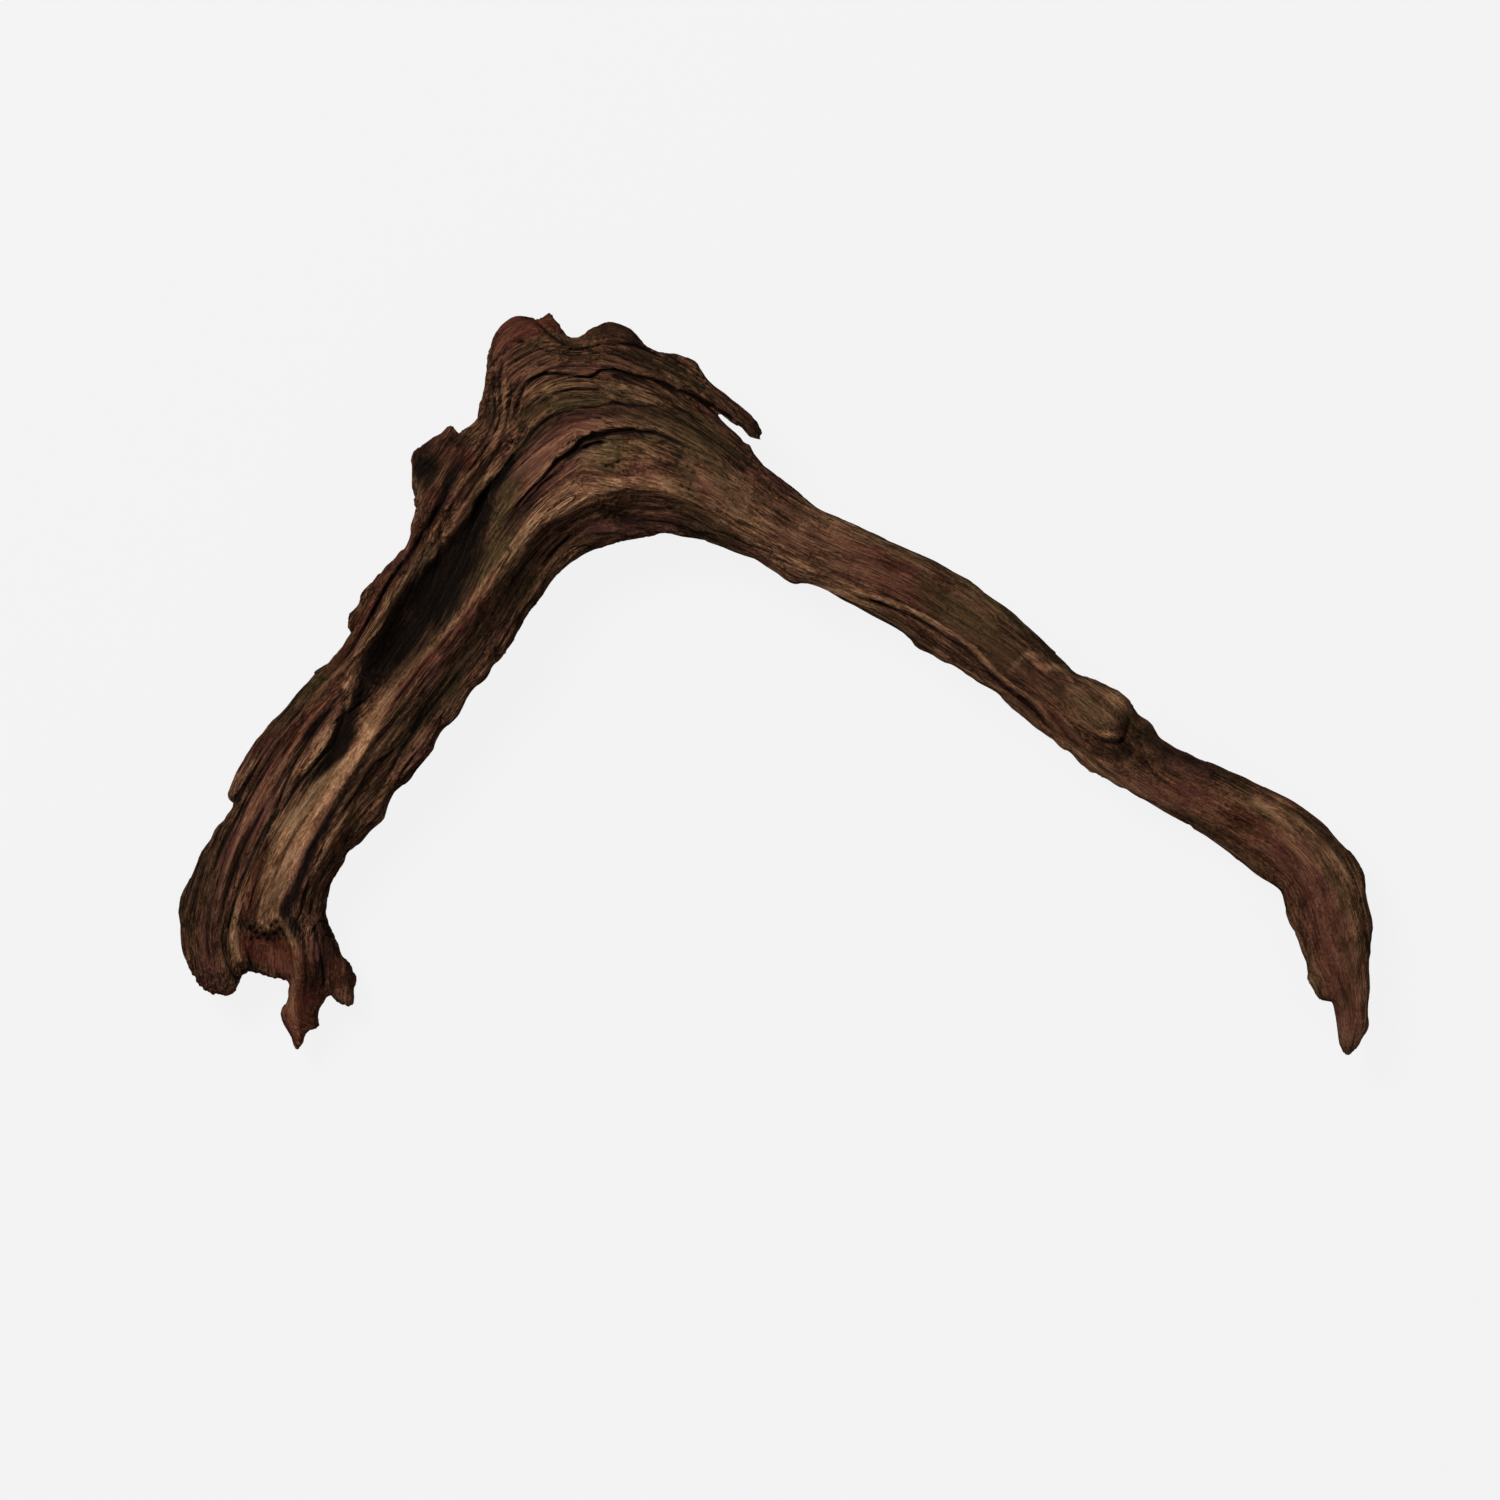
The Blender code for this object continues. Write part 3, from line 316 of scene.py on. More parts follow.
    CarvedLine(Cut.RIDGE, ((-121, 73, 0, 0.9), (-129, 61.6, 1.3, 1), (-135.6, 52.2, 1.4, 1.1),
        (-143, 44.6, 1.5, 1.1), (-152.6, 34, 1.5, 1.1), (-161.4, 18, 1.3, 1), (-170.2, 8, 1.1, 1),
        (-175, -2, 0, 0.9))),
    CarvedLine(Cut.CRACK, ((-131, 76, 0, 0.8), (-139, 63, 2.2, 1), (-147, 51, 2.4, 1.1),
        (-157, 36, 2.2, 1), (-166, 19, 1.8, 0.9), (-174, 8, 0, 0.8))),
    CarvedLine(Cut.RIDGE, ((-134, 74, 0, 0.8), (-141, 65, 1.1, 0.9), (-150, 51, 1.3, 0.9),
        (-160, 35, 1.1, 0.9), (-168, 24, 0, 0.8))),
    CarvedLine(Cut.CRACK, ((-141, 72, 0, 0.7), (-148, 60, 1.4, 0.9), (-157, 44, 1.4, 0.9),
        (-166, 28, 0, 0.7))),
    # The slit of the slim limb, and the thin lip that stands over it.
    CarvedLine(Cut.CRACK, ((27, 37.4, 0, 0.7), (34, 34.4, 1.6, 0.8), (48, 30, 1.8, 0.9),
        (59, 24.6, 1.8, 0.8), (69.4, 18, 1.6, 0.7), (77.4, 12.6, 1.6, 0.7), (86, 4, 1.6, 0.7),
        (94, -3, 1.6, 0.7), (102, -9, 1.6, 0.7), (108, -16, 1.4, 0.7), (114, -22, 0, 0.7))),
    CarvedLine(Cut.RIDGE, ((28, 38.6, 0, 0.6), (33.4, 36.8, 0.9, 0.7), (46.2, 32.6, 1, 0.7),
        (57.8, 27.8, 1.2, 0.7), (67, 22.2, 1.3, 0.7), (74.6, 17.4, 1.3, 0.7), (81, 12, 1.3, 0.7),
        (87.8, 4.8, 1.3, 0.7), (95.4, -1.4, 1.3, 0.7), (103.4, -7, 1.2, 0.7), (108.6, -13, 1, 0.7),
        (113.8, -18.8, 0, 0.6))),
    CarvedLine(Cut.RIDGE, ((20, 38.6, 0, 0.8), (38, 29.6, 0.9, 0.9), (56, 19, 1, 0.9), (70, 8, 1, 0.9),
        (84, -5, 1, 0.9), (98, -17, 0.8, 0.9), (112, -28, 0, 0.8))),
    CarvedLine(Cut.CRACK, ((40, 26, 0, 0.7), (50, 20.6, 1.2, 0.8), (58, 15, 1.6, 1), (66, 9, 1.8, 1.1),
        (74, 2, 1.4, 0.9), (82, -6, 0, 0.8))),
    CarvedLine(Cut.CRACK, ((62, 19.6, 0, 0.6), (74, 10.4, 1.2, 0.7), (86, -1, 1.2, 0.7),
        (98, -11, 1, 0.7), (110, -23, 0, 0.6))),
    # The blunt end of the knot, and the scar above it.
    CarvedLine(Cut.RIDGE, ((124, -18, 0, 0.9), (128, -19.8, 0.5, 1), (132, -20.6, 0.9, 1.2),
        (136, -19.8, 0, 1))),
    CarvedLine(Cut.CRACK, ((124, -19.4, 0, 0.8), (128, -21.6, 1.2, 0.9), (132.4, -22.8, 1.8, 1.1),
        (137.6, -22.6, 2, 1.2), (140.4, -16, 1.6, 1.1), (141, -9, 0, 0.8))),
    CarvedLine(Cut.RIDGE, ((93, 5, 0, 0.7), (97, 9, 0.9, 0.8), (101.8, 11.6, 1.1, 0.8),
        (105.4, 7.4, 1, 0.8), (110, 6.6, 0.8, 0.8), (114.6, 6.4, 1.1, 0.8), (117.6, 2, 0, 0.7))),
    CarvedLine(Cut.RIDGE, ((98, 3, 0, 0.7), (101, 6.6, 0.7, 0.8), (105, 7.4, 0, 0.7))),
)

STAINS: tuple[Stain, ...] = (
    # The strip of the near limb, the crest and the band of the crown that water has worn pale.
    Stain(Tone.WORN, ((-204.4, -95, 0.85, 3.4), (-202, -86, 1, 4.4), (-198.4, -76, 1, 5.4),
        (-193.6, -65, 1, 6.2), (-187.6, -53, 1, 6.4), (-178.8, -41, 1, 5.2), (-169.4, -30, 1, 3.4),
        (-162.4, -18.6, 1, 3), (-156.6, -9, 0.65, 3), (-147.6, 1.6, 0.25, 2.6), (-135, 15, 0.35, 2.4),
        (-124, 28, 0.7, 2.6), (-113.4, 41, 0.8, 2.6), (-104, 54, 0.8, 2.6), (-95, 63.6, 0.8, 3),
        (-86, 70, 0.8, 4), (-77, 75.4, 0.75, 4.4), (-64, 78.8, 0.62, 4.4), (-48, 79.2, 0.55, 3.8),
        (-36, 76.4, 0.55, 5), (-22, 72, 0.45, 6), (-6, 66, 0.42, 7), (14, 57, 0.44, 8), (36, 46, 0.4, 7),
        (58, 33, 0.2, 6))),
    Stain(Tone.WORN, ((31, 37.6, 0.4, 0.9), (46.2, 32.6, 0.7, 0.9), (57.8, 27.8, 0.9, 1),
        (67, 22.2, 1, 1), (74.6, 17.4, 1, 1), (81, 12, 1, 1), (87.8, 4.8, 1, 1), (95.4, -1.4, 1, 1),
        (103.4, -7, 0.9, 1), (108.6, -13, 0.8, 1), (113.8, -18.8, 0.5, 0.9))),
    Stain(Tone.WORN, ((93, 5, 0.5, 1.4), (97, 9, 0.8, 1.6), (101.8, 11.6, 0.9, 1.6),
        (105.4, 7.4, 0.8, 1.6), (114.6, 6.4, 0.9, 1.6), (117.6, 2, 0.5, 1.2))),
    Stain(Tone.WORN, ((127, -18.4, 0.2, 1.2), (132, -20, 0.8, 1.6), (135.6, -20, 0.4, 1.4))),
    Stain(Tone.WORN, ((133, -5, 0.3, 2), (137, -7.4, 0.7, 2.6), (140, -11, 0.5, 2.2))),
    Stain(Tone.WORN, ((-214, -84, 0.3, 1.4), (-216.4, -94, 0.6, 1.7), (-216.4, -103, 0.7, 1.8),
        (-214.6, -109, 0.5, 1.8))),
    Stain(Tone.WORN, ((-190, -24, 0.3, 2.4), (-200, -38, 0.5, 2.6), (-210, -56, 0.45, 2.6),
        (-216, -72, 0.2, 2.4))),
    Stain(Tone.WORN, ((-169, -4, 0.6, 1.4), (-172.4, -10.4, 0.8, 1.8), (-175.6, -18, 0.95, 2.8),
        (-182.4, -25.4, 0.85, 2.4), (-189, -35, 0.6, 1.4))),
    Stain(Tone.WORN, ((-98, 83, 0.4, 4), (-90.6, 91, 0.6, 4.4), (-81, 98, 0.6, 4), (-66, 104, 0.5, 3.4),
        (-50, 103.6, 0.44, 3.4), (-34, 97, 0.36, 5))),
    Stain(Tone.WORN, ((-78, 90, 0.2, 4), (-66, 92, 0.4, 6), (-50, 93, 0.36, 6), (-32, 87, 0.34, 6),
        (-14, 78, 0.34, 8))),
    Stain(Tone.WORN, ((-96, 116, 0.2, 3), (-86, 118, 0.5, 3), (-74, 117, 0.4, 3.4), (-58, 117, 0.25, 4),
        (-40, 112, 0.2, 4))),
    Stain(Tone.WORN, ((194, -47, 0.4, 4), (199, -50, 0.6, 5), (205, -56, 0.4, 6), (216, -70, 0.2, 9),
        (226, -96, 0.2, 8), (232, -138, 0.3, 7))),
    Stain(Tone.WORN, ((112, 0, 0.2, 6), (124, -6, 0.28, 7), (132, -13, 0.26, 6))),
    Stain(Tone.WORN, ((128, -36, 0.3, 3), (144, -42, 0.4, 4), (156, -46, 0.2, 4))),
    Stain(Tone.WORN, ((-203, -60, 0.3, 3), (-199, -44, 0.5, 4.4), (-193.6, -32.6, 0.7, 4.4),
        (-187, -20, 0.2, 3))),
    Stain(Tone.WORN, ((-217, -42, 0.45, 3), (-211, -34, 0.25, 3), (-196, -16, 0.1, 6), (-184, -2, 0.2, 5),
        (-166, 26, 0.2, 4))),
    Stain(Tone.WORN, ((-110, 128, 0.2, 5), (-109, 112, 0.25, 6), (-111, 96, 0.4, 3),
        (-113.6, 87, 0.5, 2.2), (-120.6, 77, 0.75, 2.8), (-125.6, 68, 0.6, 2.4))),
    Stain(Tone.WORN, ((-145, 86, 0.3, 3), (-142.6, 78, 0.4, 3), (-144, 68, 0.3, 3))),
    Stain(Tone.WORN, ((-186, -76, 0.3, 2), (-180, -64, 0.4, 2), (-170.6, -48, 0.6, 2.4),
        (-163.6, -36, 0.75, 2.6), (-155, -22.6, 0.65, 2.6), (-144, -8, 0.2, 2))),
    Stain(Tone.WORN, ((-19, 67, 0.5, 2.6), (-12, 62, 0.6, 4), (0, 53, 0.5, 5), (12, 46, 0.55, 5),
        (26, 38, 0.6, 4), (36, 32, 0.5, 4))),
    Stain(Tone.WORN, ((-208, -100, 0.3, 3), (-202, -107, 0.3, 4), (-196, -113, 0.5, 3))),
    Stain(Tone.WORN, ((8, 76, 0.3, 5), (18, 66, 0.5, 4), (34, 61, 0.4, 4), (50, 54, 0.5, 4),
        (66, 45, 0.3, 4), (82, 32, 0.5, 5), (90, 24, 0.2, 4))),
    Stain(Tone.WORN, ((64, 12, 0.3, 3), (76, 4, 0.5, 3.4), (96, -11, 0.45, 4), (108, -20, 0.65, 4),
        (118, -27, 0.8, 4.4), (128, -34, 0.7, 4), (142, -42, 0.5, 3))),
    Stain(Tone.WORN, ((124, 0, 0.3, 4), (133, -2, 0.5, 4), (141, -8, 0.4, 3))),
    Stain(Tone.WORN, ((204, -90, 0.3, 3), (209, -104, 0.6, 3), (214, -119, 0.6, 3))),
    Stain(Tone.WORN, ((222, -70, 0.2, 5), (226, -80, 0.3, 5), (230, -104, 0.3, 6), (235, -108, 0.3, 4))),
    Stain(Tone.WORN, ((-199, -93, 0.6, 1.4), (-194, -100, 0.7, 1.6), (-191, -108, 0.6, 1.6),
        (-191.6, -117, 0.6, 2), (-193.8, -128, 0.7, 2.4), (-192, -139, 0.6, 2))),
    Stain(Tone.WORN, ((-123, 71, 0.4, 1.8), (-128.8, 62.8, 0.8, 2.2), (-135, 53.6, 0.9, 2.6),
        (-142.4, 46, 0.85, 2.8), (-153, 34.6, 0.6, 2.4), (-162, 17, 0.6, 2.4), (-168, 6, 0.75, 2.6),
        (-170.4, 0, 0.6, 2.2))),
    Stain(Tone.WORN, ((126, -34, 0.3, 2.4), (140, -42.6, 0.55, 2.6), (152, -48, 0.5, 2.6),
        (164, -54, 0.2, 2.4))),
    # Red wood, where the bark went last.
    Stain(Tone.RED, ((-110, 142, 0.6, 10), (-92, 148, 0.8, 9), (-80, 146, 0.5, 7))),
    Stain(Tone.RED, ((-74, 142, 0.3, 6), (-64, 143, 0.5, 7), (-52, 138, 0.3, 6))),
    Stain(Tone.RED, ((-208, -104, 1, 7), (-198, -108, 1, 7), (-189, -118, 0.95, 8),
        (-189, -136, 0.95, 8))),
    Stain(Tone.RED, ((-204, -42, 0.4, 5), (-194, -26, 0.5, 5), (-180, -4, 0.5, 5), (-166, 22, 0.6, 4),
        (-154, 42, 0.5, 4), (-140, 62, 0.5, 4), (-136, 74, 0.7, 6))),
    Stain(Tone.RED, ((-203, -64, 0.5, 2), (-207, -76, 0.7, 2.6), (-210, -90, 0.7, 2.8))),
    Stain(Tone.RED, ((-180, -96, 0.3, 6), (-174, -114, 0.6, 7))),
    Stain(Tone.RED, ((-176, 8, 0.6, 3), (-171, 14, 0.4, 3))),
    Stain(Tone.RED, ((-201, -18, 0.5, 3), (-207, -26, 0.5, 3))),
    Stain(Tone.RED, ((-160, -17, 0.4, 1.6), (-151, -5, 0.8, 1.8), (-141, 7, 0.9, 1.8),
        (-130, 19, 0.9, 1.8), (-120, 31, 0.8, 1.8), (-109, 48, 0.6, 1.6))),
    Stain(Tone.RED, ((-132, 92, 0.6, 7), (-124, 90, 0.6, 6))),
    Stain(Tone.RED, ((20, 56, 0.3, 9), (50, 42, 0.5, 9), (80, 22, 0.3, 8), (122, -34, 0.6, 7),
        (150, -44, 0.4, 6), (170, -46, 0.4, 9), (198, -66, 0.4, 10), (220, -94, 0.4, 12),
        (230, -130, 0.5, 10))),
    # Grey pink, where the outer wood has only just gone.
    Stain(Tone.ROSE, ((-100, 84, 0.5, 5), (-92, 93, 0.9, 6), (-82, 102, 0.9, 6), (-66, 106, 0.6, 5),
        (-50, 105, 0.3, 5))),
    Stain(Tone.ROSE, ((-112, 128, 0.4, 6), (-108, 140, 0.5, 8), (-98, 144, 0.5, 6))),
    Stain(Tone.ROSE, ((-192, -28, 0.5, 4), (-202, -44, 0.8, 5), (-212, -64, 0.6, 6), (-222, -88, 0.5, 7),
        (-226, -108, 0.5, 7))),
    Stain(Tone.ROSE, ((-168, -24, 0.35, 3), (-183, -46, 0.35, 3), (-192, -64, 0.4, 3),
        (-198, -80, 0.4, 3), (-202, -92, 0.4, 4))),
    Stain(Tone.ROSE, ((-168, -30, 0.3, 1.4), (-181, -53, 0.7, 1.6), (-191, -73, 0.7, 1.6),
        (-197, -88, 0.4, 1.4))),
    Stain(Tone.ROSE, ((-10, 74, 0.3, 7), (14, 60, 0.5, 9), (40, 46, 0.55, 8), (56, 36, 0.3, 7))),
    Stain(Tone.ROSE, ((94, 13, 0.3, 5), (103, 5, 0.5, 6), (112, -2, 0.2, 6))),
    Stain(Tone.ROSE, ((132, -34, 0.5, 4), (150, -44, 0.75, 5), (162, -49, 0.4, 6))),
    Stain(Tone.ROSE, ((196, -56, 0.3, 7), (208, -68, 0.5, 9), (222, -96, 0.5, 9), (227, -118, 0.5, 8),
        (230, -144, 0.5, 6))),
    Stain(Tone.ROSE, ((-206, -108, 0.5, 5), (-197, -112, 0.6, 5), (-196, -124, 0.7, 3),
        (-195, -136, 0.6, 3))),
    # Green grey, where damp lay.
    Stain(Tone.MOSS, ((-108, 60, 0.6, 5), (-116, 50, 0.8, 6), (-128, 34, 0.8, 5), (-140, 18, 0.6, 4),
        (-154, 2, 0.5, 4))),
    Stain(Tone.MOSS, ((-172, -22, 0.5, 4), (-181, -37, 0.75, 4.4), (-188, -50, 0.6, 4),
        (-196, -64, 0.2, 3))),
    Stain(Tone.MOSS, ((-52, 106, 0.4, 7), (-34, 98, 0.7, 8), (-18, 88, 0.4, 8))),
    Stain(Tone.MOSS, ((-96, 132, 0.5, 7), (-80, 126, 0.4, 6), (-88, 114, 0.4, 6), (-62, 116, 0.5, 7))),
    Stain(Tone.MOSS, ((-101, 106, 0.4, 5), (-88, 114, 0.5, 5), (-70, 115, 0.4, 5))),
    Stain(Tone.MOSS, ((-206, -64, 0.2, 4), (-226, -80, 0.4, 8), (-220, -104, 0.3, 8))),
    Stain(Tone.MOSS, ((-184, -76, 0.3, 3), (-186, -86, 0.4, 4))),
    Stain(Tone.MOSS, ((-110, 68, 0.8, 4), (-106, 76, 0.8, 4.6), (-100, 86, 0.4, 3), (-84, 92, 0.3, 3),
        (-74, 92, 0.5, 6), (-56, 96, 0.5, 5))),
    Stain(Tone.MOSS, ((60, 38, 0.5, 7), (76, 26, 0.75, 9), (92, 12, 0.6, 7), (104, -2, 0.4, 6))),
    Stain(Tone.MOSS, ((116, -4, 0.4, 5), (126, -12, 0.55, 6), (134, -16, 0.3, 5))),
    Stain(Tone.MOSS, ((34, 62, 0.4, 3), (62, 50, 0.6, 4), (88, 33, 0.6, 4), (112, 10, 0.6, 4))),
    Stain(Tone.MOSS, ((-68, 84, 0.4, 3), (-66, 90, 0.6, 4.4), (-63, 96, 0.4, 3))),
    Stain(Tone.MOSS, ((-39, 89, 0.5, 3), (-36, 84, 0.75, 4.6), (-34, 78, 0.6, 3.4))),
    Stain(Tone.MOSS, ((-200, -12, 0.5, 8), (-184, 4, 0.6, 8), (-172, 16, 0.4, 5))),
    Stain(Tone.MOSS, ((-160, -40, 0.4, 5), (-144, -18, 0.5, 5), (-126, 4, 0.4, 5))),
    Stain(Tone.MOSS, ((144, -15, 0.3, 4), (152, -22, 0.5, 5), (168, -30, 0.3, 6))),
    # Painted shade, near black: in the deep hollow, on the flank under the crest that faces away from the
    # light, in the shadow beside the lifted plate, in the hollow by the knot, and along grooves and
    # shaded edges elsewhere; a few strokes darken the wood's own tone.
    Stain(Tone.DARK_AND_SHADE, ((-101, 104, 0.2, 3), (-95.6, 109.4, 0.4, 3), (-88, 112.6, 0.2, 3))),
    Stain(Tone.DARK_AND_SHADE, ((-78, 142, 0.2, 4), (-64, 141, 0.4, 6), (-50, 136, 0.3, 5))),
    Stain(Tone.DARK_AND_SHADE, ((40, 62, 0.1, 2), (62, 51, 0.3, 2), (88, 34, 0.3, 2), (112, 11, 0.45, 2.6),
        (124, 3, 0.2, 2))),
    Stain(Tone.DARK_AND_SHADE, ((-48, 92, 0.3, 3), (-45, 86, 0.4, 4), (-42, 81, 0.2, 3))),
    Stain(Tone.DARK_AND_SHADE, ((-112, 79, 0.5, 3), (-116, 69, 0.9, 4.4), (-121.6, 58.6, 0.92, 7.8),
        (-134, 42, 0.97, 12), (-148, 22, 0.9, 12), (-160, 6, 0.86, 8), (-165, -2, 0.8, 4))),
    Stain(Tone.DARK_AND_SHADE, ((-166.6, -4, 0.7, 2.2), (-169.2, -13, 0.9, 3), (-171.4, -21, 0.97, 4.2),
        (-176, -28.6, 0.95, 3.6), (-185, -38, 0.5, 1.8))),
    Stain(Tone.DARK_AND_SHADE, ((-178, -10, 0.3, 2), (-183.6, -16.4, 0.65, 2.6), (-190, -25, 0.3, 2))),
    Stain(Tone.DARK_AND_SHADE, ((-206, -21, 0.3, 3), (-212, -29, 0.5, 3))),
    Stain(Tone.DARK_AND_SHADE, ((-190, -84, 0.1, 4), (-162, -38, 0.2, 4), (-146, -18, 0.25, 5), (-130, 3, 0.25, 5),
        (-114, 24, 0.35, 6), (-98, 46, 0.42, 6), (-82, 62, 0.4, 6), (-62, 70, 0.35, 5),
        (-30, 66, 0.35, 5))),
    Stain(Tone.DARK_AND_SHADE, ((-78, 59, 0.3, 3), (-62, 62.6, 0.5, 3.4), (-46, 64, 0.5, 3.6), (-32, 61, 0.4, 3))),
    Stain(Tone.DARK_AND_SHADE, ((-192, -100, 0.6, 2.2), (-195.6, -91, 0.95, 3), (-191.4, -81, 0.95, 2.4),
        (-185.6, -67, 0.9, 2.2), (-179, -54.6, 0.85, 2.2), (-172.2, -43.6, 0.75, 2.2),
        (-158, -22, 0.6, 2.2), (-147, -10, 0.3, 2))),
    Stain(Tone.DARK_AND_SHADE, ((-110, 59, 0.4, 3.4), (-103, 66, 0.65, 3.6), (-96, 75, 0.55, 2.8),
        (-90, 83, 0.5, 2.2), (-81, 89, 0.3, 2.2))),
    Stain(Tone.DARK_AND_SHADE, ((-105, 88, 0.5, 2.6), (-97, 97.4, 0.65, 3), (-87, 104.8, 0.65, 3),
        (-75, 107.6, 0.55, 3), (-60, 108, 0.5, 3), (-44, 106, 0.45, 3), (-30, 100, 0.4, 3),
        (-18, 92, 0.2, 3))),
    Stain(Tone.DARK_AND_SHADE, ((-124.4, 94, 0.4, 3), (-128, 84, 0.75, 3.4), (-134, 72, 0.7, 2.6),
        (-142.6, 58, 0.6, 2.2))),
    Stain(Tone.DARK_AND_SHADE, ((-140, 97, 0.3, 4), (-131, 98, 0.6, 3.6), (-124, 98, 0.4, 4))),
    Stain(Tone.DARK_AND_SHADE, ((-28, 117, 0.2, 3), (-16, 109, 0.45, 4), (-7, 102, 0.6, 4.4))),
    Stain(Tone.DARK_AND_SHADE, ((-102, 126, 0.2, 4), (-80, 129, 0.25, 5), (-62, 129.4, 0.45, 5),
        (-48, 125, 0.35, 4))),
    Stain(Tone.DARK_AND_SHADE, ((-27, 90, 0.1, 4), (-22, 78, 0.4, 5), (-16, 71, 0.4, 4))),
    Stain(Tone.DARK_AND_SHADE, ((-222, -58, 0.3, 5), (-231, -74, 0.45, 5), (-237, -90, 0.4, 4),
        (-237, -104, 0.2, 4))),
    Stain(Tone.DARK_AND_SHADE, ((-228, -117, 0.2, 4), (-221, -119, 0.4, 5), (-216, -114, 0.2, 3))),
    Stain(Tone.DARK_AND_SHADE, ((-36, 64, 0.3, 4), (-23, 60, 0.5, 4), (-11, 57, 0.45, 4))),
    Stain(Tone.DARK_AND_SHADE, ((-116, 52, 0.3, 3), (-124, 39, 0.45, 3), (-134, 25, 0.4, 3))),
    Stain(Tone.DARK_AND_SHADE, ((-140, -12, 0.25, 4), (-128, 1, 0.45, 5), (-118, 13, 0.45, 6), (-107, 28, 0.3, 5),
        (-94, 48, 0.2, 5))),
    Stain(Tone.DARK_AND_SHADE, ((-54, 131, 0.2, 4), (-40, 128, 0.4, 5), (-32, 124, 0.3, 4))),
    Stain(Tone.DARK_AND_SHADE, ((122, 5, 0.4, 2.4), (111, 3, 0.4, 3), (112, -2, 0.6, 4), (113, -6, 0.4, 3))),
    Stain(Tone.DARK_AND_SHADE, ((16, 60, 0.25, 4), (30, 54, 0.2, 4), (56, 34, 0.3, 4), (63, 29, 0.4, 4))),
    Stain(Tone.DARK_AND_SHADE, ((128, -25.6, 0.6, 3), (136, -28, 0.75, 3.4), (140, -26, 0.5, 3))),
    Stain(Tone.DARK_AND_SHADE, ((146, -40, 0.25, 3), (158, -50, 0.35, 4), (172, -57, 0.35, 4), (188, -65, 0.4, 4),
        (202, -72, 0.4, 4), (212, -84, 0.25, 4))),
    Stain(Tone.DARK_AND_SHADE, ((158, -26, 0.3, 3), (172, -32, 0.45, 3.4), (186, -39, 0.45, 3.4),
        (194, -44, 0, 3))),
    Stain(Tone.DARK_AND_SHADE, ((208, -48, 0.2, 3), (218, -57, 0.5, 4), (228, -68, 0.4, 4))),
    Stain(Tone.DARK_AND_SHADE, ((235, -88, 0.2, 4), (236, -94, 0.45, 4), (238, -100, 0.1, 3))),
    Stain(Tone.DARK_AND_SHADE, ((228, -112, 0.2, 5), (231, -118, 0.25, 6), (228, -126, 0.1, 5))),
    Stain(Tone.DARK_AND_SHADE, ((76, 20, 0.1, 5), (90, 12, 0.25, 6), (104, 3, 0.3, 5))),
    Stain(Tone.DARK_AND_SHADE, ((-141, 93, 0.75, 6), (-140, 86, 0.92, 7.4), (-139, 79, 0.4, 4))),
    Stain(Tone.DARK_AND_SHADE, ((142, -24, 0.3, 4), (150, -21, 0.5, 6), (158, -28, 0.5, 7), (170, -35, 0.35, 6))),
    Stain(Tone.DARK_AND_SHADE, ((36, 29, 0.2, 3), (60, 18, 0.3, 3), (84, 0, 0.25, 3), (106, -17, 0.1, 3))),
    Stain(Tone.DARK_AND_SHADE, ((-183, -90, 0.4, 4), (-180, -104, 0.5, 5), (-184, -120, 0.5, 4))),
    Stain(Tone.DARK_AND_SHADE, ((-103.6, 89.6, 0.4, 1.6), (-108.6, 83, 0.9, 2.4), (-114, 77.4, 0.95, 2.8),
        (-118.4, 71.6, 0.7, 2.8))),
    Stain(Tone.DARK_AND_SHADE, ((-76, 144, 0.3, 4), (-66, 142, 0.4, 5), (-54, 138, 0.4, 5))),
    Stain(Tone.DARK_AND_SHADE, ((-177, -99, 0.3, 5), (-171, -116, 0.45, 7))),
    Stain(Tone.DARK_AND_SHADE, ((-189, -110, 0.25, 5), (-187, -128, 0.45, 6))),
    Stain(Tone.DARK_AND_SHADE, ((-224, -62, 0.15, 7), (-228, -84, 0.28, 9), (-226, -104, 0.22, 9))),
    # Smooth skin: the slim limb, the knobs of the crown and the rubbed strip have few furrows.
    Stain(Tone.SKIN, ((-4, 66, 0.1, 14), (20, 56, 0.3, 14), (46, 42, 0.45, 14), (80, 20, 0.5, 14),
        (110, -2, 0.6, 14), (140, -24, 0.8, 15), (170, -42, 1, 18), (200, -62, 1, 22), (222, -95, 1, 22),
        (230, -146, 1, 18)), Face.BOTH),
    Stain(Tone.SKIN, ((-203, -96, 0.5, 5), (-198, -76, 0.95, 6), (-187, -53, 0.95, 6.5),
        (-172.6, -29.6, 0.95, 6), (-162, -14, 0.7, 5), (-150, 0, 0.4, 4))),
    Stain(Tone.SKIN, ((-204, -106, 0.5, 6), (-190, -114, 0.6, 7), (-190, -134, 0.9, 8)), Face.BOTH),
    Stain(Tone.SKIN, ((-178, -98, 0.3, 6), (-172, -118, 0.9, 8)), Face.BOTH),
    Stain(Tone.SKIN, ((-112, 140, 0.6, 8), (-98, 146, 0.7, 8), (-66, 143, 0.7, 8))),
    Stain(Tone.SKIN, ((-88, 80, 0.4, 6), (-66, 86, 0.6, 8), (-40, 84, 0.6, 8), (-16, 76, 0.5, 10))),
    Stain(Tone.SKIN, ((-30, 114, 0.6, 3), (-24, 109.6, 1, 4), (-14, 101.6, 1, 4.6), (-6, 94, 0.8, 4)),
        Face.BOTH),
    # Rough wood: furrows stay deep where nothing rubs them.
    Stain(Tone.ROUGH, ((-180, -84, 0.4, 8), (-166, -56, 0.45, 9), (-146, -26, 0.45, 10),
        (-126, -2, 0.45, 10), (-106, 22, 0.5, 10), (-88, 44, 0.7, 10), (-60, 66, 0.9, 8),
        (-30, 64, 0.8, 7), (0, 50, 0.6, 5))),
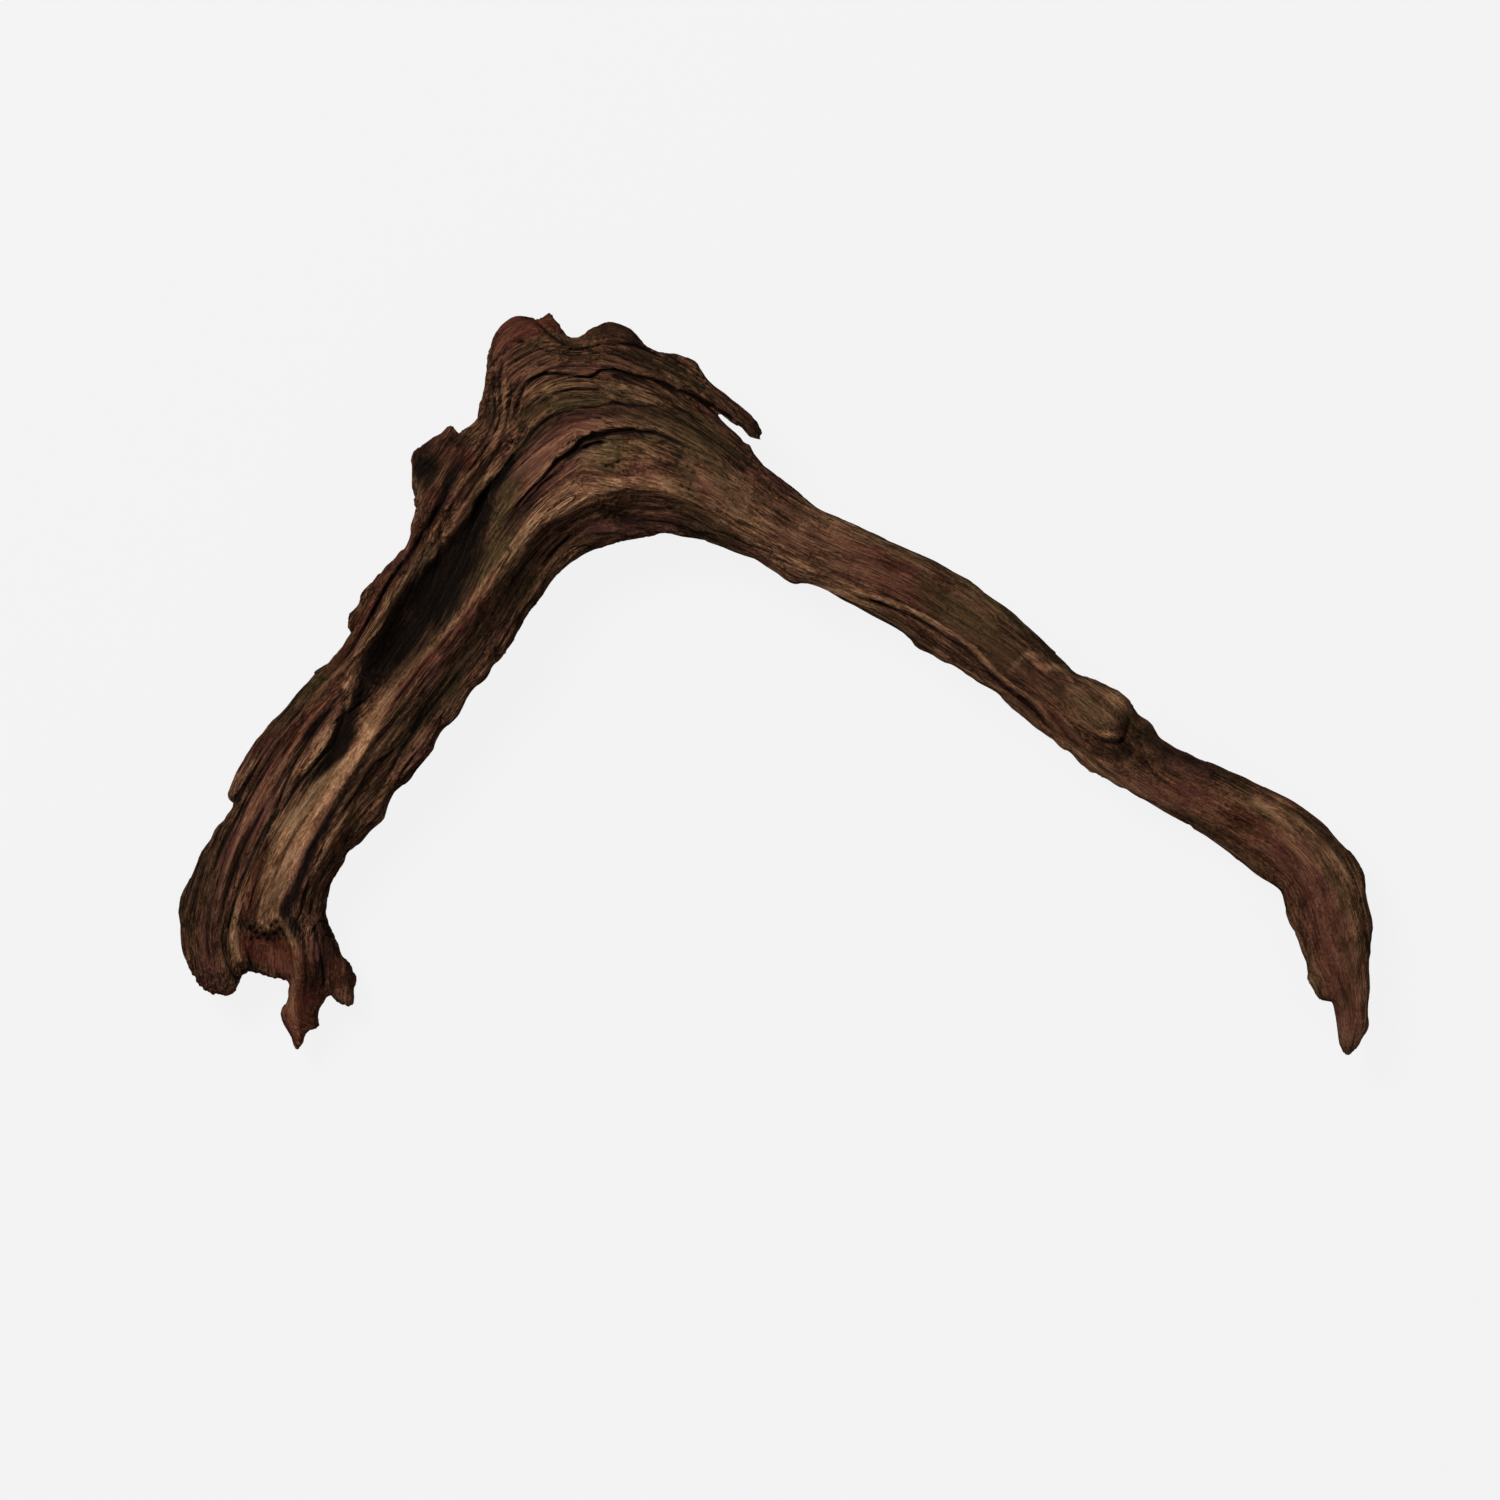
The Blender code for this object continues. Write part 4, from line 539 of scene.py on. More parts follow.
    Stain(Tone.ROUGH, ((-222, -104, 0.5, 10), (-220, -70, 0.6, 12), (-204, -34, 0.75, 12),
        (-184, -6, 0.9, 12), (-164, 30, 1, 10), (-144, 62, 1, 12), (-134, 86, 1, 14),
        (-116, 108, 0.9, 14), (-106, 130, 0.8, 14), (-76, 134, 0.7, 12), (-44, 124, 0.7, 10))),
)


@dataclass(frozen=True)
class Pit:
    """A round hole: its place in plan, its radius and its depth, in millimetres."""

    x: float
    y: float
    radius: float
    depth: float


# Borer holes in the soft wood of the foot, and rot pits in the worn band of the crown.
PITS: tuple[Pit, ...] = (
    Pit(-210, -97.6, 1, 1.3), Pit(-207.6, -98.6, 1.1, 1.6), Pit(-205.6, -97.2, 0.9, 1.4),
    Pit(-204.4, -99.6, 1.1, 1.6), Pit(-207, -101.2, 1, 1.3), Pit(-203.4, -101.8, 1, 1.3),
    Pit(-209.8, -101.8, 0.9, 1.2), Pit(-201.6, -96, 1.1, 1.6), Pit(-199.4, -94.8, 1, 1.4),
    Pit(-198.2, -97.6, 0.9, 1.3), Pit(-200.4, -99.4, 1, 1.4), Pit(-198.4, -101.6, 0.9, 1.2),
    Pit(-196, -106.4, 1, 0.9), Pit(-202.2, -94.2, 0.8, 1.2), Pit(-196.6, -100.2, 0.8, 1.0),
    Pit(-66.6, 90.4, 1.1, 1), Pit(-64.6, 86.6, 1, 1), Pit(-61, 92.2, 1, 0.9),
    Pit(-60.4, 84.6, 1.1, 1), Pit(-57.4, 92, 0.9, 0.8), Pit(-65.4, 95, 1, 0.9),
    Pit(-62.6, 88.4, 1.1, 1), Pit(-67.6, 86.8, 0.9, 0.8), Pit(-63.2, 82.8, 0.9, 0.8),
    Pit(-59.4, 96, 0.9, 0.8), Pit(-39.4, 87.6, 1.1, 1.3), Pit(-36.4, 82.6, 1.1, 1.4),
    Pit(-35, 86.4, 1, 1.3), Pit(-33.6, 80, 1, 1.3), Pit(-32.4, 84.4, 1.1, 1.3),
    Pit(-37.4, 79.2, 1, 1.2), Pit(-31, 87.4, 0.9, 1), Pit(-38.2, 84.6, 0.9, 1.2),
    Pit(-34.6, 77.4, 0.9, 1), Pit(-46.4, 85.8, 0.8, 0.8), Pit(170.4, -35, 0.8, 1.2),
)


def smoothed(rows: Points, steps: int) -> np.ndarray:
    """Rows read from a Catmull-Rom curve through the drawn rows.

    Args:
        rows: the drawn rows of numbers.
        steps: rows read for each stretch between two drawn ones.

    Returns:
        One row of numbers for each point of the curve.
    """
    drawn = np.array(rows, float)
    ends = np.vstack([2 * drawn[0] - drawn[1], drawn, 2 * drawn[-1] - drawn[-2]])
    read = []
    for i in range(len(drawn) - 1):
        a, b, c, d = ends[i : i + 4]
        for t in np.arange(steps) / steps:
            bend = (2 * a - 5 * b + 4 * c - d) * t**2 + (3 * b - a - 3 * c + d) * t**3
            read.append(b + ((c - a) * t + bend) / 2)
    read.append(drawn[-1])
    return np.array(read)


@dataclass(frozen=True)
class Polyline:
    """A line in plan, through evenly read points."""

    points: np.ndarray

    BATCH = 40000  # points measured at one time, which keeps the tables small

    def nearest(self, plan: np.ndarray) -> tuple[np.ndarray, np.ndarray]:
        """Measures points in plan against the line.

        Args:
            plan: x and y of each point.

        Returns:
            The place of the nearest point, counted in points of the line with its fraction,
            and the distance from the line, above zero on the left.
        """
        lengths = (self.points**2).sum(axis=1)
        index = np.empty(len(plan), int)
        for start in range(0, len(plan), self.BATCH):
            part = slice(start, start + self.BATCH)
            index[part] = (lengths - 2 * plan[part] @ self.points.T).argmin(axis=1)
        steps = np.gradient(self.points, axis=0)
        reach = np.linalg.norm(steps, axis=1)[index]
        direction = steps[index] / reach[:, None]
        offset = plan - self.points[index]
        onward = np.clip((offset * direction).sum(axis=1), -reach / 2, reach / 2)
        beside = offset - onward[:, None] * direction
        left = direction[:, 0] * offset[:, 1] - direction[:, 1] * offset[:, 0]
        return index + onward / reach, np.linalg.norm(beside, axis=1) * np.where(left < 0, -1, 1)


class Grain:
    """The run of the grain: where each point of the wood would lie in the unbent branch."""

    STEPS = 8  # points read for each guide row
    WIDTH = 60.0  # width, in millimetres, at which the strands have their drawn width
    WANDER = 3.0  # how far the strands wander to the side, in millimetres

    def __init__(self) -> None:
        """Reads the guide lines of the two edges, and measures the middle between them."""
        rows = smoothed(GRAIN_GUIDES, self.STEPS)
        self.outer = Polyline(rows[:, :2])
        self.inner = Polyline(rows[:, 2:])
        paces = np.linalg.norm(np.diff(rows[:, :2] + rows[:, 2:], axis=0), axis=1) / 2
        self.run = np.concatenate([[0], np.cumsum(paces)])

    def unbent(self, points: np.ndarray) -> np.ndarray:
        """Unbends the branch.

        Args:
            points: positions in millimetres.

        Returns:
            For each point: millimetres along the grain, across it, and the height.
        """
        place, from_inner = self.inner.nearest(points[:, :2])
        from_outer = -self.outer.nearest(points[:, :2])[1]
        width = np.maximum(from_outer + from_inner, 1.0)
        across = (from_outer / width - 0.5) * np.sqrt(width * self.WIDTH)
        run, up = np.interp(place, np.arange(len(self.run)), self.run), points[:, 2]
        wander = Noise(1).at(np.column_stack([run / 55, across / 20, up / 20]))
        return np.column_stack([run, across + self.WANDER * wander, up])


class Noise:
    """Perlin's gradient noise, the same on every run."""

    SIZE = 256

    def __init__(self, seed: int) -> None:
        """Shuffles the lattice with the seed."""
        draw = np.random.default_rng(seed)
        self.order = draw.permutation(self.SIZE)
        slopes = draw.normal(size=(self.SIZE, 3))
        self.slopes = slopes / np.linalg.norm(slopes, axis=1)[:, None]

    def at(self, places: np.ndarray) -> np.ndarray:
        """The noise, about -0.7 to 0.7, at each place, where one cell of it is one unit wide."""
        cell = np.floor(places).astype(int)
        part = places - cell
        fade = part**3 * (part * (part * 6 - 15) + 10)
        total = np.zeros(len(places))
        for corner in product((0, 1), repeat=3):
            key = np.zeros(len(places), int)
            weight = np.ones(len(places))
            for axis in range(3):
                key = self.order[(key + cell[:, axis] + corner[axis]) % self.SIZE]
                weight *= fade[:, axis] if corner[axis] else 1 - fade[:, axis]
            total += weight * (self.slopes[key] * (part - corner)).sum(axis=1)
        return total


@dataclass(frozen=True)
class Strands:
    """Furrows along the grain: their width and length, the relief between top and bottom, and how
    much of that relief is left where the wood is worn smooth."""

    seed: int
    width: float
    length: float
    relief: float
    left_when_worn: float


@dataclass(frozen=True)
class Checks:
    """Short open cracks along the grain: their spacing across, their length and their cut."""

    seed: int
    spacing: float
    length: float
    half_width: float
    depth: float
    share: float


class Carver:
    """Carves the fine form of the wood into a mesh."""

    LINE_STEPS = 10  # points read between two marks of a line
    FACING_FADE = 0.35  # upright part of the normal at which a line reaches its full amount
    MARGIN = 5.0  # reaches from a line past which it does nothing
    LAYER_SLOPE = 0.8  # half the width of the steep side of a layer, in millimetres

    STRANDS = (
        Strands(seed=11, width=7.5, length=90.0, relief=1.2, left_when_worn=0.3),
        Strands(seed=12, width=3.4, length=60.0, relief=1.0, left_when_worn=0.2),
        Strands(seed=13, width=1.7, length=45.0, relief=0.7, left_when_worn=0.2),
    )
    CHECKS = (
        Checks(seed=21, spacing=6.0, length=34.0, half_width=0.6, depth=2.0, share=0.34),
        Checks(seed=22, spacing=3.4, length=20.0, half_width=0.5, depth=1.3, share=0.34),
    )
    LUMPS = 0.8  # broad unevenness, in millimetres
    LUMP_LENGTH = 40.0
    LUMP_WIDTH = 24.0
    RIDGE_GAIN = 2.2  # brings the folded noise of the strands to about 0 to 1
    RIDGE_MIDDLE = 0.45  # average of the strands, taken off so that the wood keeps its thickness
    FLAKE_WIDTH = 9.0  # width of the layers that the weather lifts, in millimetres
    FLAKE_RELIEF = 1.0
    FLAKE_MIDDLE = 0.33  # average height of a layer, as a share of its relief
    FLAKE_SHIFT = 1.3  # how far the edges of the layers wander, in layers
    FLAKE_CELL = (80.0, 26.0, 18.0)  # size of that wander along the grain, across it and up
    FLAKES_RUBBED = 0.85  # share of the layers that wear takes away
    CHECKS_RUBBED = 0.6
    CHECK_LEAN = 0.4  # how far the checks move across for each millimetre down
    CHECK_BEND = 25.0  # length of the bends of a check, in millimetres
    CHECK_FADE = 0.3  # how much of the noise a check takes to open from its end
    BEND_STRIDE = 7.3  # steps through the noise from one lane of checks to the next
    OPENING_STRIDE = 3.7
    OPENING_SEED = 50  # added to the seed for the noise that opens the checks

    def __init__(self, grain: Grain) -> None:
        """Keeps the grain that the furrows follow."""
        self.grain = grain

    def stroke(self, marks: Points, plan: np.ndarray) -> tuple[np.ndarray, ...]:
        """Finds the points near a drawn line.

        Args:
            marks: the line's marks, each x, y, amount and reach.
            plan: x and y of each point.

        Returns:
            The indices of the points near the line, and for each of them the amount, the
            distance in reaches, and the distance in millimetres, above zero on the left.
        """
        rows = smoothed(marks, self.LINE_STEPS)
        margin = self.MARGIN * rows[:, 3].max()
        low, high = rows[:, :2].min(axis=0) - margin, rows[:, :2].max(axis=0) + margin
        near = np.flatnonzero(((plan > low) & (plan < high)).all(axis=1))
        place, side = Polyline(rows[:, :2]).nearest(plan[near])
        amount, reach = (np.interp(place, np.arange(len(rows)), rows[:, i]) for i in (2, 3))
        return near, np.maximum(amount, 0), np.abs(side) / reach, side

    def facing(self, face: Face, normals: np.ndarray) -> np.ndarray:
        """How far each point belongs to a face of the branch, from 0 to 1."""
        if face is Face.BOTH:
            return np.ones(len(normals))
        return np.clip(normals[:, 2] / self.FACING_FADE, 0, 1)

    def lines(
        self, drawn: tuple[CarvedLine, ...], points: np.ndarray, normals: np.ndarray
    ) -> np.ndarray:
        """The height that the drawn lines add at each point, below zero where they cut."""
        height = np.zeros(len(points))
        for line in drawn:
            near, amount, share, side = self.stroke(line.marks, points[:, :2])
            if line.cut is Cut.RIDGE:
                added = amount * np.exp(-share)
            elif line.cut is Cut.HOLLOW:
                added = -amount * np.exp(-(share**2))
            elif line.cut is Cut.CRACK:
                added = -amount * np.clip(1 - share, 0, 1) ** 0.7
            elif line.cut is Cut.FILL:
                added = amount * np.clip(1 - share, 0, 1)
            else:
                added = amount * np.exp(-share) * np.clip(side / self.LAYER_SLOPE, -1, 1)
            height[near] += added * self.facing(line.face, normals[near])
        return height

    def tone(self, tone: Tone, points: np.ndarray, normals: np.ndarray) -> np.ndarray:
        """How strong a tone is at each point, from 0 to 1."""
        clear = np.ones(len(points))
        for stain in STAINS:
            if stain.tone is tone:
                near, strength, share, _ = self.stroke(stain.marks, points[:, :2])
                laid = strength * np.exp(-(share**4)) * self.facing(stain.face, normals[near])
                clear[near] *= 1 - np.clip(laid, 0, 1)
        return 1 - clear

    def furrows(self, unbent: np.ndarray, worn: np.ndarray) -> np.ndarray:
        """The height of the furrows, checks and lifted layers at each point."""
        run, across, up = unbent.T
        place = [run / self.LUMP_LENGTH, across / self.LUMP_WIDTH, up / self.LUMP_WIDTH]
        height = self.LUMPS * Noise(2).at(np.column_stack(place))
        for strands in self.STRANDS:
            place = [run / strands.length, across / strands.width, up / strands.width]
            ridge = self.RIDGE_GAIN * np.abs(Noise(strands.seed).at(np.column_stack(place)))
            left = 1 - (1 - strands.left_when_worn) * worn
            height += strands.relief * left * (np.minimum(ridge, 1) - self.RIDGE_MIDDLE)
        shift = self.FLAKE_SHIFT * Noise(3).at(unbent / self.FLAKE_CELL)
        step = across / self.FLAKE_WIDTH + up / (2 * self.FLAKE_WIDTH) + shift
        layer = (step - np.floor(step)) ** 2 - self.FLAKE_MIDDLE
        height += self.FLAKE_RELIEF * (1 - self.FLAKES_RUBBED * worn) * layer
        for checks in self.CHECKS:
            depth = self.check_depth(checks, run, across + self.CHECK_LEAN * up)
            height -= (1 - self.CHECKS_RUBBED * worn) * depth
        return height

    def check_depth(self, checks: Checks, run: np.ndarray, across: np.ndarray) -> np.ndarray:
        """The depth of one set of checks at each point."""
        lane = np.floor(across / checks.spacing)
        place = np.column_stack([run / self.CHECK_BEND, lane * self.BEND_STRIDE, run * 0])
        wiggle = Noise(checks.seed).at(place)
        beside = across - (lane + 0.5 + 0.5 * wiggle) * checks.spacing
        place = np.column_stack([run / checks.length, lane * self.OPENING_STRIDE, run * 0])
        chance = Noise(checks.seed + self.OPENING_SEED).at(place) * 2 + checks.share
        opened = np.clip(chance - self.CHECK_FADE, 0, self.CHECK_FADE) / self.CHECK_FADE
        return checks.depth * opened * np.clip(1 - np.abs(beside) / checks.half_width, 0, 1)

    def moved(self, points: np.ndarray) -> np.ndarray:
        """The points, with the outline moved where the solid rounds it off."""
        moved = points.copy()
        for x, y, onward, upward, reach in OUTLINE_MOVES:
            away = np.hypot(points[:, 0] - x, points[:, 1] - y) / reach
            moved[:, :2] += np.exp(-(away**2))[:, None] * (onward, upward)
        return moved

    def pits(self, points: np.ndarray, normals: np.ndarray) -> np.ndarray:
        """The depth of the borer holes and pits at each point."""
        depth = np.zeros(len(points))
        for pit in PITS:
            away = np.hypot(points[:, 0] - pit.x, points[:, 1] - pit.y) / pit.radius
            depth = np.maximum(depth, pit.depth * np.clip(2 - 2 * away, 0, 1))
        return depth * self.facing(Face.TOP, normals)


class DriftwoodBranch:
    """The branch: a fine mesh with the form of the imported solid, carved along its grain."""

    CLAY = 1.2 * MM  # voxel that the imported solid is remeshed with
    ROUNDING = 9  # smoothing passes that take away the facets of the solid
    TRIANGLES = 192000
    WELD = 0.001 * MM
    CALM = 0.4  # how smooth plain wood is, from 0 to 1
    CALM_OF_WEAR = 0.25
    CALM_OF_SKIN = 0.5
    CALM_LOST_WHERE_ROUGH = 0.4

    def __init__(self) -> None:
        """Makes the grain and the carver."""
        self.grain = Grain()
        self.carver = Carver(self.grain)

    def copy_of_node(self) -> bpy.types.Object:
        """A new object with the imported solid's mesh, its loose triangles merged."""
        shaped = bmesh.new()
        shaped.from_mesh(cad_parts[NODE].data)
        bmesh.ops.remove_doubles(shaped, verts=shaped.verts, dist=self.WELD)
        mesh = bpy.data.meshes.new("weathered_branch")
        shaped.to_mesh(mesh)
        shaped.free()
        piece = bpy.data.objects.new("weathered_branch", mesh)
        bpy.context.scene.collection.objects.link(piece)
        return piece

    def bake(self, piece: bpy.types.Object) -> None:
        """Puts the result of the piece's modifiers in its mesh, and removes them."""
        bpy.context.view_layer.update()
        graph = bpy.context.evaluated_depsgraph_get()
        result = bpy.data.meshes.new_from_object(piece.evaluated_get(graph))
        before = piece.data
        piece.modifiers.clear()
        piece.data = result
        bpy.data.meshes.remove(before)

    def refine(self, piece: bpy.types.Object) -> None:
        """Turns the facets of the solid into a fine even skin."""
        clay = piece.modifiers.new("clay", "REMESH")
        clay.mode = "VOXEL"
        clay.voxel_size = self.CLAY
        rounding = piece.modifiers.new("rounding", "SMOOTH")
        rounding.factor = 0.5
        rounding.iterations = self.ROUNDING
        skin = piece.modifiers.new("skin", "SUBSURF")
        skin.levels = skin.render_levels = 1
        self.bake(piece)

    def read(self, piece: bpy.types.Object) -> tuple[np.ndarray, np.ndarray]:
        """The points of the piece in millimetres, and their normals."""
        mesh = piece.data
        points = np.empty(len(mesh.vertices) * 3, np.float32)
        normals = np.empty(len(mesh.vertices) * 3, np.float32)
        mesh.vertices.foreach_get("co", points)
        mesh.vertices.foreach_get("normal", normals)
        return points.reshape(-1, 3).astype(float) / MM, normals.reshape(-1, 3).astype(float)

    def carve(self, piece: bpy.types.Object) -> None:
        """Carves the lines, the furrows, the checks and the pits, and notes their depth."""
        points, normals = self.read(piece)
        points = self.carver.moved(points)
        worn = self.carver.tone(Tone.WORN, points, normals)
        rough = self.carver.tone(Tone.ROUGH, points, normals)
        skin = self.carver.tone(Tone.SKIN, points, normals)
        calm = self.CALM + self.CALM_OF_WEAR * worn + self.CALM_OF_SKIN * skin
        calm = np.clip(calm - self.CALM_LOST_WHERE_ROUGH * rough, 0, 1)
        furrows = self.carver.furrows(self.grain.unbent(points), calm)
        closed = self.carver.lines(CLOSED_CRACKS, points, normals)
        lines = self.carver.lines(CARVED_LINES, points, normals)
        lines -= self.carver.pits(points, normals)
        carved = points + normals * furrows[:, None]
        carved[:, 2] += closed + lines
        carved[:, 2] = np.maximum(carved[:, 2], 0)
        piece.data.vertices.foreach_set("co", (carved * MM).astype(np.float32).ravel())
        self.note(piece, "relief", furrows + lines)

    def note(self, piece: bpy.types.Object, name: str, values: np.ndarray) -> None:
        """Keeps a number for each point of the piece, for the finish to read."""
        kept = piece.data.attributes.new(name, "FLOAT", "POINT")
        kept.data.foreach_set("value", values.astype(np.float32))

    def thin(self, piece: bpy.types.Object) -> None:
        """Collapses the mesh to its budget, which keeps the triangles where the form is sharp."""
        piece.data.calc_loop_triangles()
        thinned = piece.modifiers.new("thinned", "DECIMATE")
        thinned.ratio = self.TRIANGLES / len(piece.data.loop_triangles)
        self.bake(piece)

    def stain(self, piece: bpy.types.Object) -> None:
        """Notes the grain and the tones at each point of the piece."""
        points, normals = self.read(piece)
        unbent = piece.data.attributes.new("grain", "FLOAT_VECTOR", "POINT")
        unbent.data.foreach_set("vector", self.grain.unbent(points).astype(np.float32).ravel())
        for tone in Tone:
            self.note(piece, tone.value, self.carver.tone(tone, points, normals))

    def build(self) -> bpy.types.Object:
        """Builds the branch, attaches it to its body and hides the imported solid.

        Returns:
            The finished piece.
        """
        piece = self.copy_of_node()
        self.refine(piece)
        self.carve(piece)
        self.thin(piece)
        self.stain(piece)
        piece.data.shade_smooth()
        piece.data.materials.clear()
        piece.data.materials.append(WeatheredWood().build())
        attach(piece, BODY)
        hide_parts(NODE)
        return piece


def linear(color: str) -> tuple[float, float, float, float]:
    """The linear colour, with alpha 1, of an sRGB hex value such as #4a3020."""
    parts = [int(color[i : i + 2], 16) / 255 for i in (1, 3, 5)]
    turned = [p / 12.92 if p <= 0.04045 else ((p + 0.055) / 1.055) ** 2.4 for p in parts]
    return (turned[0], turned[1], turned[2], 1.0)


def add_node(
    tree: bpy.types.NodeTree,
    kind: str,
    settings: dict[str, object] | None = None,
    inputs: dict[int | str, object] | None = None,
) -> bpy.types.Node:
    """Adds a node with its settings and links.

    Args:
        tree: the tree that the node goes in.
        kind: the node's type.
        settings: properties of the node, by name.
        inputs: values for the node's inputs, or the sockets linked to them.

    Returns:
        The new node.
    """
    node = tree.nodes.new(kind)
    for name, value in (settings or {}).items():
        setattr(node, name, value)
    for name, value in (inputs or {}).items():
        if isinstance(value, bpy.types.NodeSocket):
            tree.links.new(value, node.inputs[name])
        else:
            node.inputs[name].default_value = value
    return node


@dataclass(frozen=True)
class WeatheredWood:
    """Old root wood that water has leached and worn: matt, dark red brown, and pale where it is rubbed.
    The eye reads the grain first, as fine dark and pale streaks along the branch. Shade is painted into
    the colour: near black in the hollows, furrows and hairline cracks and on faces turned from the light,
    and ridge tops are painted paler, partly as rubbed wood and partly as painted highlight."""

    dark: str = "#180d08"
    body: str = "#523422"
    light: str = "#865d43"
    worn_dark: str = "#6e4a31"
    worn: str = "#a07250"
    worn_light: str = "#c09872"
    red: str = "#521a12"
    rose: str = "#6f4239"
    moss: str = "#38351b"
    # near black, painted as shade in hollows, furrows, hairline cracks and on faces turned from the light
    shade_black: str = "#090402"
    specular: float = 0.08
    ior: float = 1.45

    def build(self) -> bpy.types.Material:
        """Builds the node tree.

        Returns:
            The finished material.
        """
        material = bpy.data.materials.new("weathered_driftwood")
        material.use_nodes = True
        tree = material.node_tree
        shader = tree.nodes["Principled BSDF"]
        shader.inputs["IOR"].default_value = self.ior
        shader.inputs["Specular IOR Level"].default_value = self.specular
        fibres = self.pattern(tree, length=28, width=0.9, detail=5)
        streaks = self.pattern(tree, length=75, width=3.2, detail=4)
        bands = self.pattern(tree, length=120, width=13, detail=3)
        mottle = self.pattern(tree, length=14, width=9, detail=6)
        grit = self.pattern(tree, length=1.6, width=1.1, detail=4)
        blotches = self.pattern(tree, length=13, width=7, detail=5)
        threads = self.pattern(tree, length=12, width=0.8, detail=3)
        furrowed = self.sum(tree, 0.5, (
            (fibres, 1.2), (streaks, 0.8), (bands, 0.6), (mottle, 0.7), (grit, 1.0),
            (threads, 1.7)))
        smooth = self.sum(tree, 0.5, (
            (fibres, 0.6), (bands, 0.5), (blotches, 1.5), (grit, 1.3), (threads, 1.0)))
        skin = add_node(tree, "ShaderNodeAttribute", {"attribute_name": Tone.SKIN.value})
        shade = add_node(tree, "ShaderNodeMix", {"data_type": "FLOAT"}, {
            0: skin.outputs["Fac"], 2: furrowed, 3: smooth}).outputs[0]
        checks = add_node(tree, "ShaderNodeMath", {"operation": "MAXIMUM"}, {
            0: self.hairlines(tree, length=34, width=2.6),
            1: self.hairlines(tree, length=22, width=1.5)}).outputs["Value"]
        furrowing = add_node(tree, "ShaderNodeMapRange", {}, {
            "Value": skin.outputs["Fac"], "To Min": 1.0, "To Max": 0.4})
        checks = add_node(tree, "ShaderNodeMath", {"operation": "MULTIPLY"}, {
            0: checks, 1: furrowing.outputs["Result"]}).outputs["Value"]
        ragged = self.sum(tree, 0.0, ((streaks, 0.6), (mottle, 0.6), (blotches, 0.6)))
        color = self.color(tree, shade, ragged, checks)
        tree.links.new(color, shader.inputs["Base Color"])
        gloss = add_node(tree, "ShaderNodeMapRange", {}, {
            "Value": shade, "From Min": 0.2, "From Max": 0.8, "To Min": 0.85, "To Max": 0.62})
        tree.links.new(gloss.outputs["Result"], shader.inputs["Roughness"])
        height = self.sum(tree, 0.5, ((shade, 1.2), (grit, 0.3), (checks, -0.6)))
        bump = add_node(tree, "ShaderNodeBump", {}, {
            "Strength": 1.0, "Distance": 0.9 * MM, "Height": height})
        tree.links.new(bump.outputs["Normal"], shader.inputs["Normal"])
        return material

    def pattern(
        self, tree: bpy.types.NodeTree, length: float, width: float, detail: float
    ) -> bpy.types.NodeSocket:
        """Streaks along the grain, about 0.5 on average.

        Args:
            tree: the material's node tree.
            length: length of a streak in millimetres.
            width: width of a streak in millimetres.
            detail: how many finer layers of streaks are added.

        Returns:
            The socket with the pattern's value.
        """
        grain = add_node(tree, "ShaderNodeAttribute", {"attribute_name": "grain"})
        stretched = add_node(tree, "ShaderNodeMapping", {}, {
            "Vector": grain.outputs["Vector"], "Location": (length, width, 0),
            "Scale": (1 / length, 1 / width, 1 / width)})
        noise = add_node(tree, "ShaderNodeTexNoise", {}, {
            "Vector": stretched.outputs["Vector"], "Scale": 1.0, "Detail": detail,
            "Roughness": 0.62})
        return noise.outputs["Fac"]

    def sum(
        self,
        tree: bpy.types.NodeTree,
        middle: float,
        parts: tuple[tuple[bpy.types.NodeSocket, float], ...],
    ) -> bpy.types.NodeSocket:
        """A weighted sum of patterns whose average comes to the middle value."""
        total: object = middle - 0.5 * sum(weight for _, weight in parts)
        for part, weight in parts:
            total = add_node(tree, "ShaderNodeMath", {"operation": "MULTIPLY_ADD"}, {
                0: part, 1: weight, 2: total}).outputs["Value"]
        return total

    def hairlines(
        self, tree: bpy.types.NodeTree, length: float, width: float
    ) -> bpy.types.NodeSocket:
        """Hairline cracks along the grain, 1 on a crack: the level lines of a stretched noise."""
        bed = self.pattern(tree, length, width, detail=2)
        where = self.pattern(tree, 2 * length, 3 * width, detail=1)
        level = add_node(tree, "ShaderNodeMath", {"operation": "SUBTRACT"}, {0: bed, 1: 0.5})
        away = add_node(tree, "ShaderNodeMath", {"operation": "ABSOLUTE"}, {
            0: level.outputs["Value"]})
        line = add_node(tree, "ShaderNodeMapRange", {}, {
            "Value": away.outputs["Value"], "From Min": 0.005, "From Max": 0.028,
            "To Min": 1.0, "To Max": 0.0})
        opened = add_node(tree, "ShaderNodeMapRange", {}, {
            "Value": where, "From Min": 0.42, "From Max": 0.6})
        return add_node(tree, "ShaderNodeMath", {"operation": "MULTIPLY"}, {
            0: line.outputs["Result"], 1: opened.outputs["Result"]}).outputs["Value"]

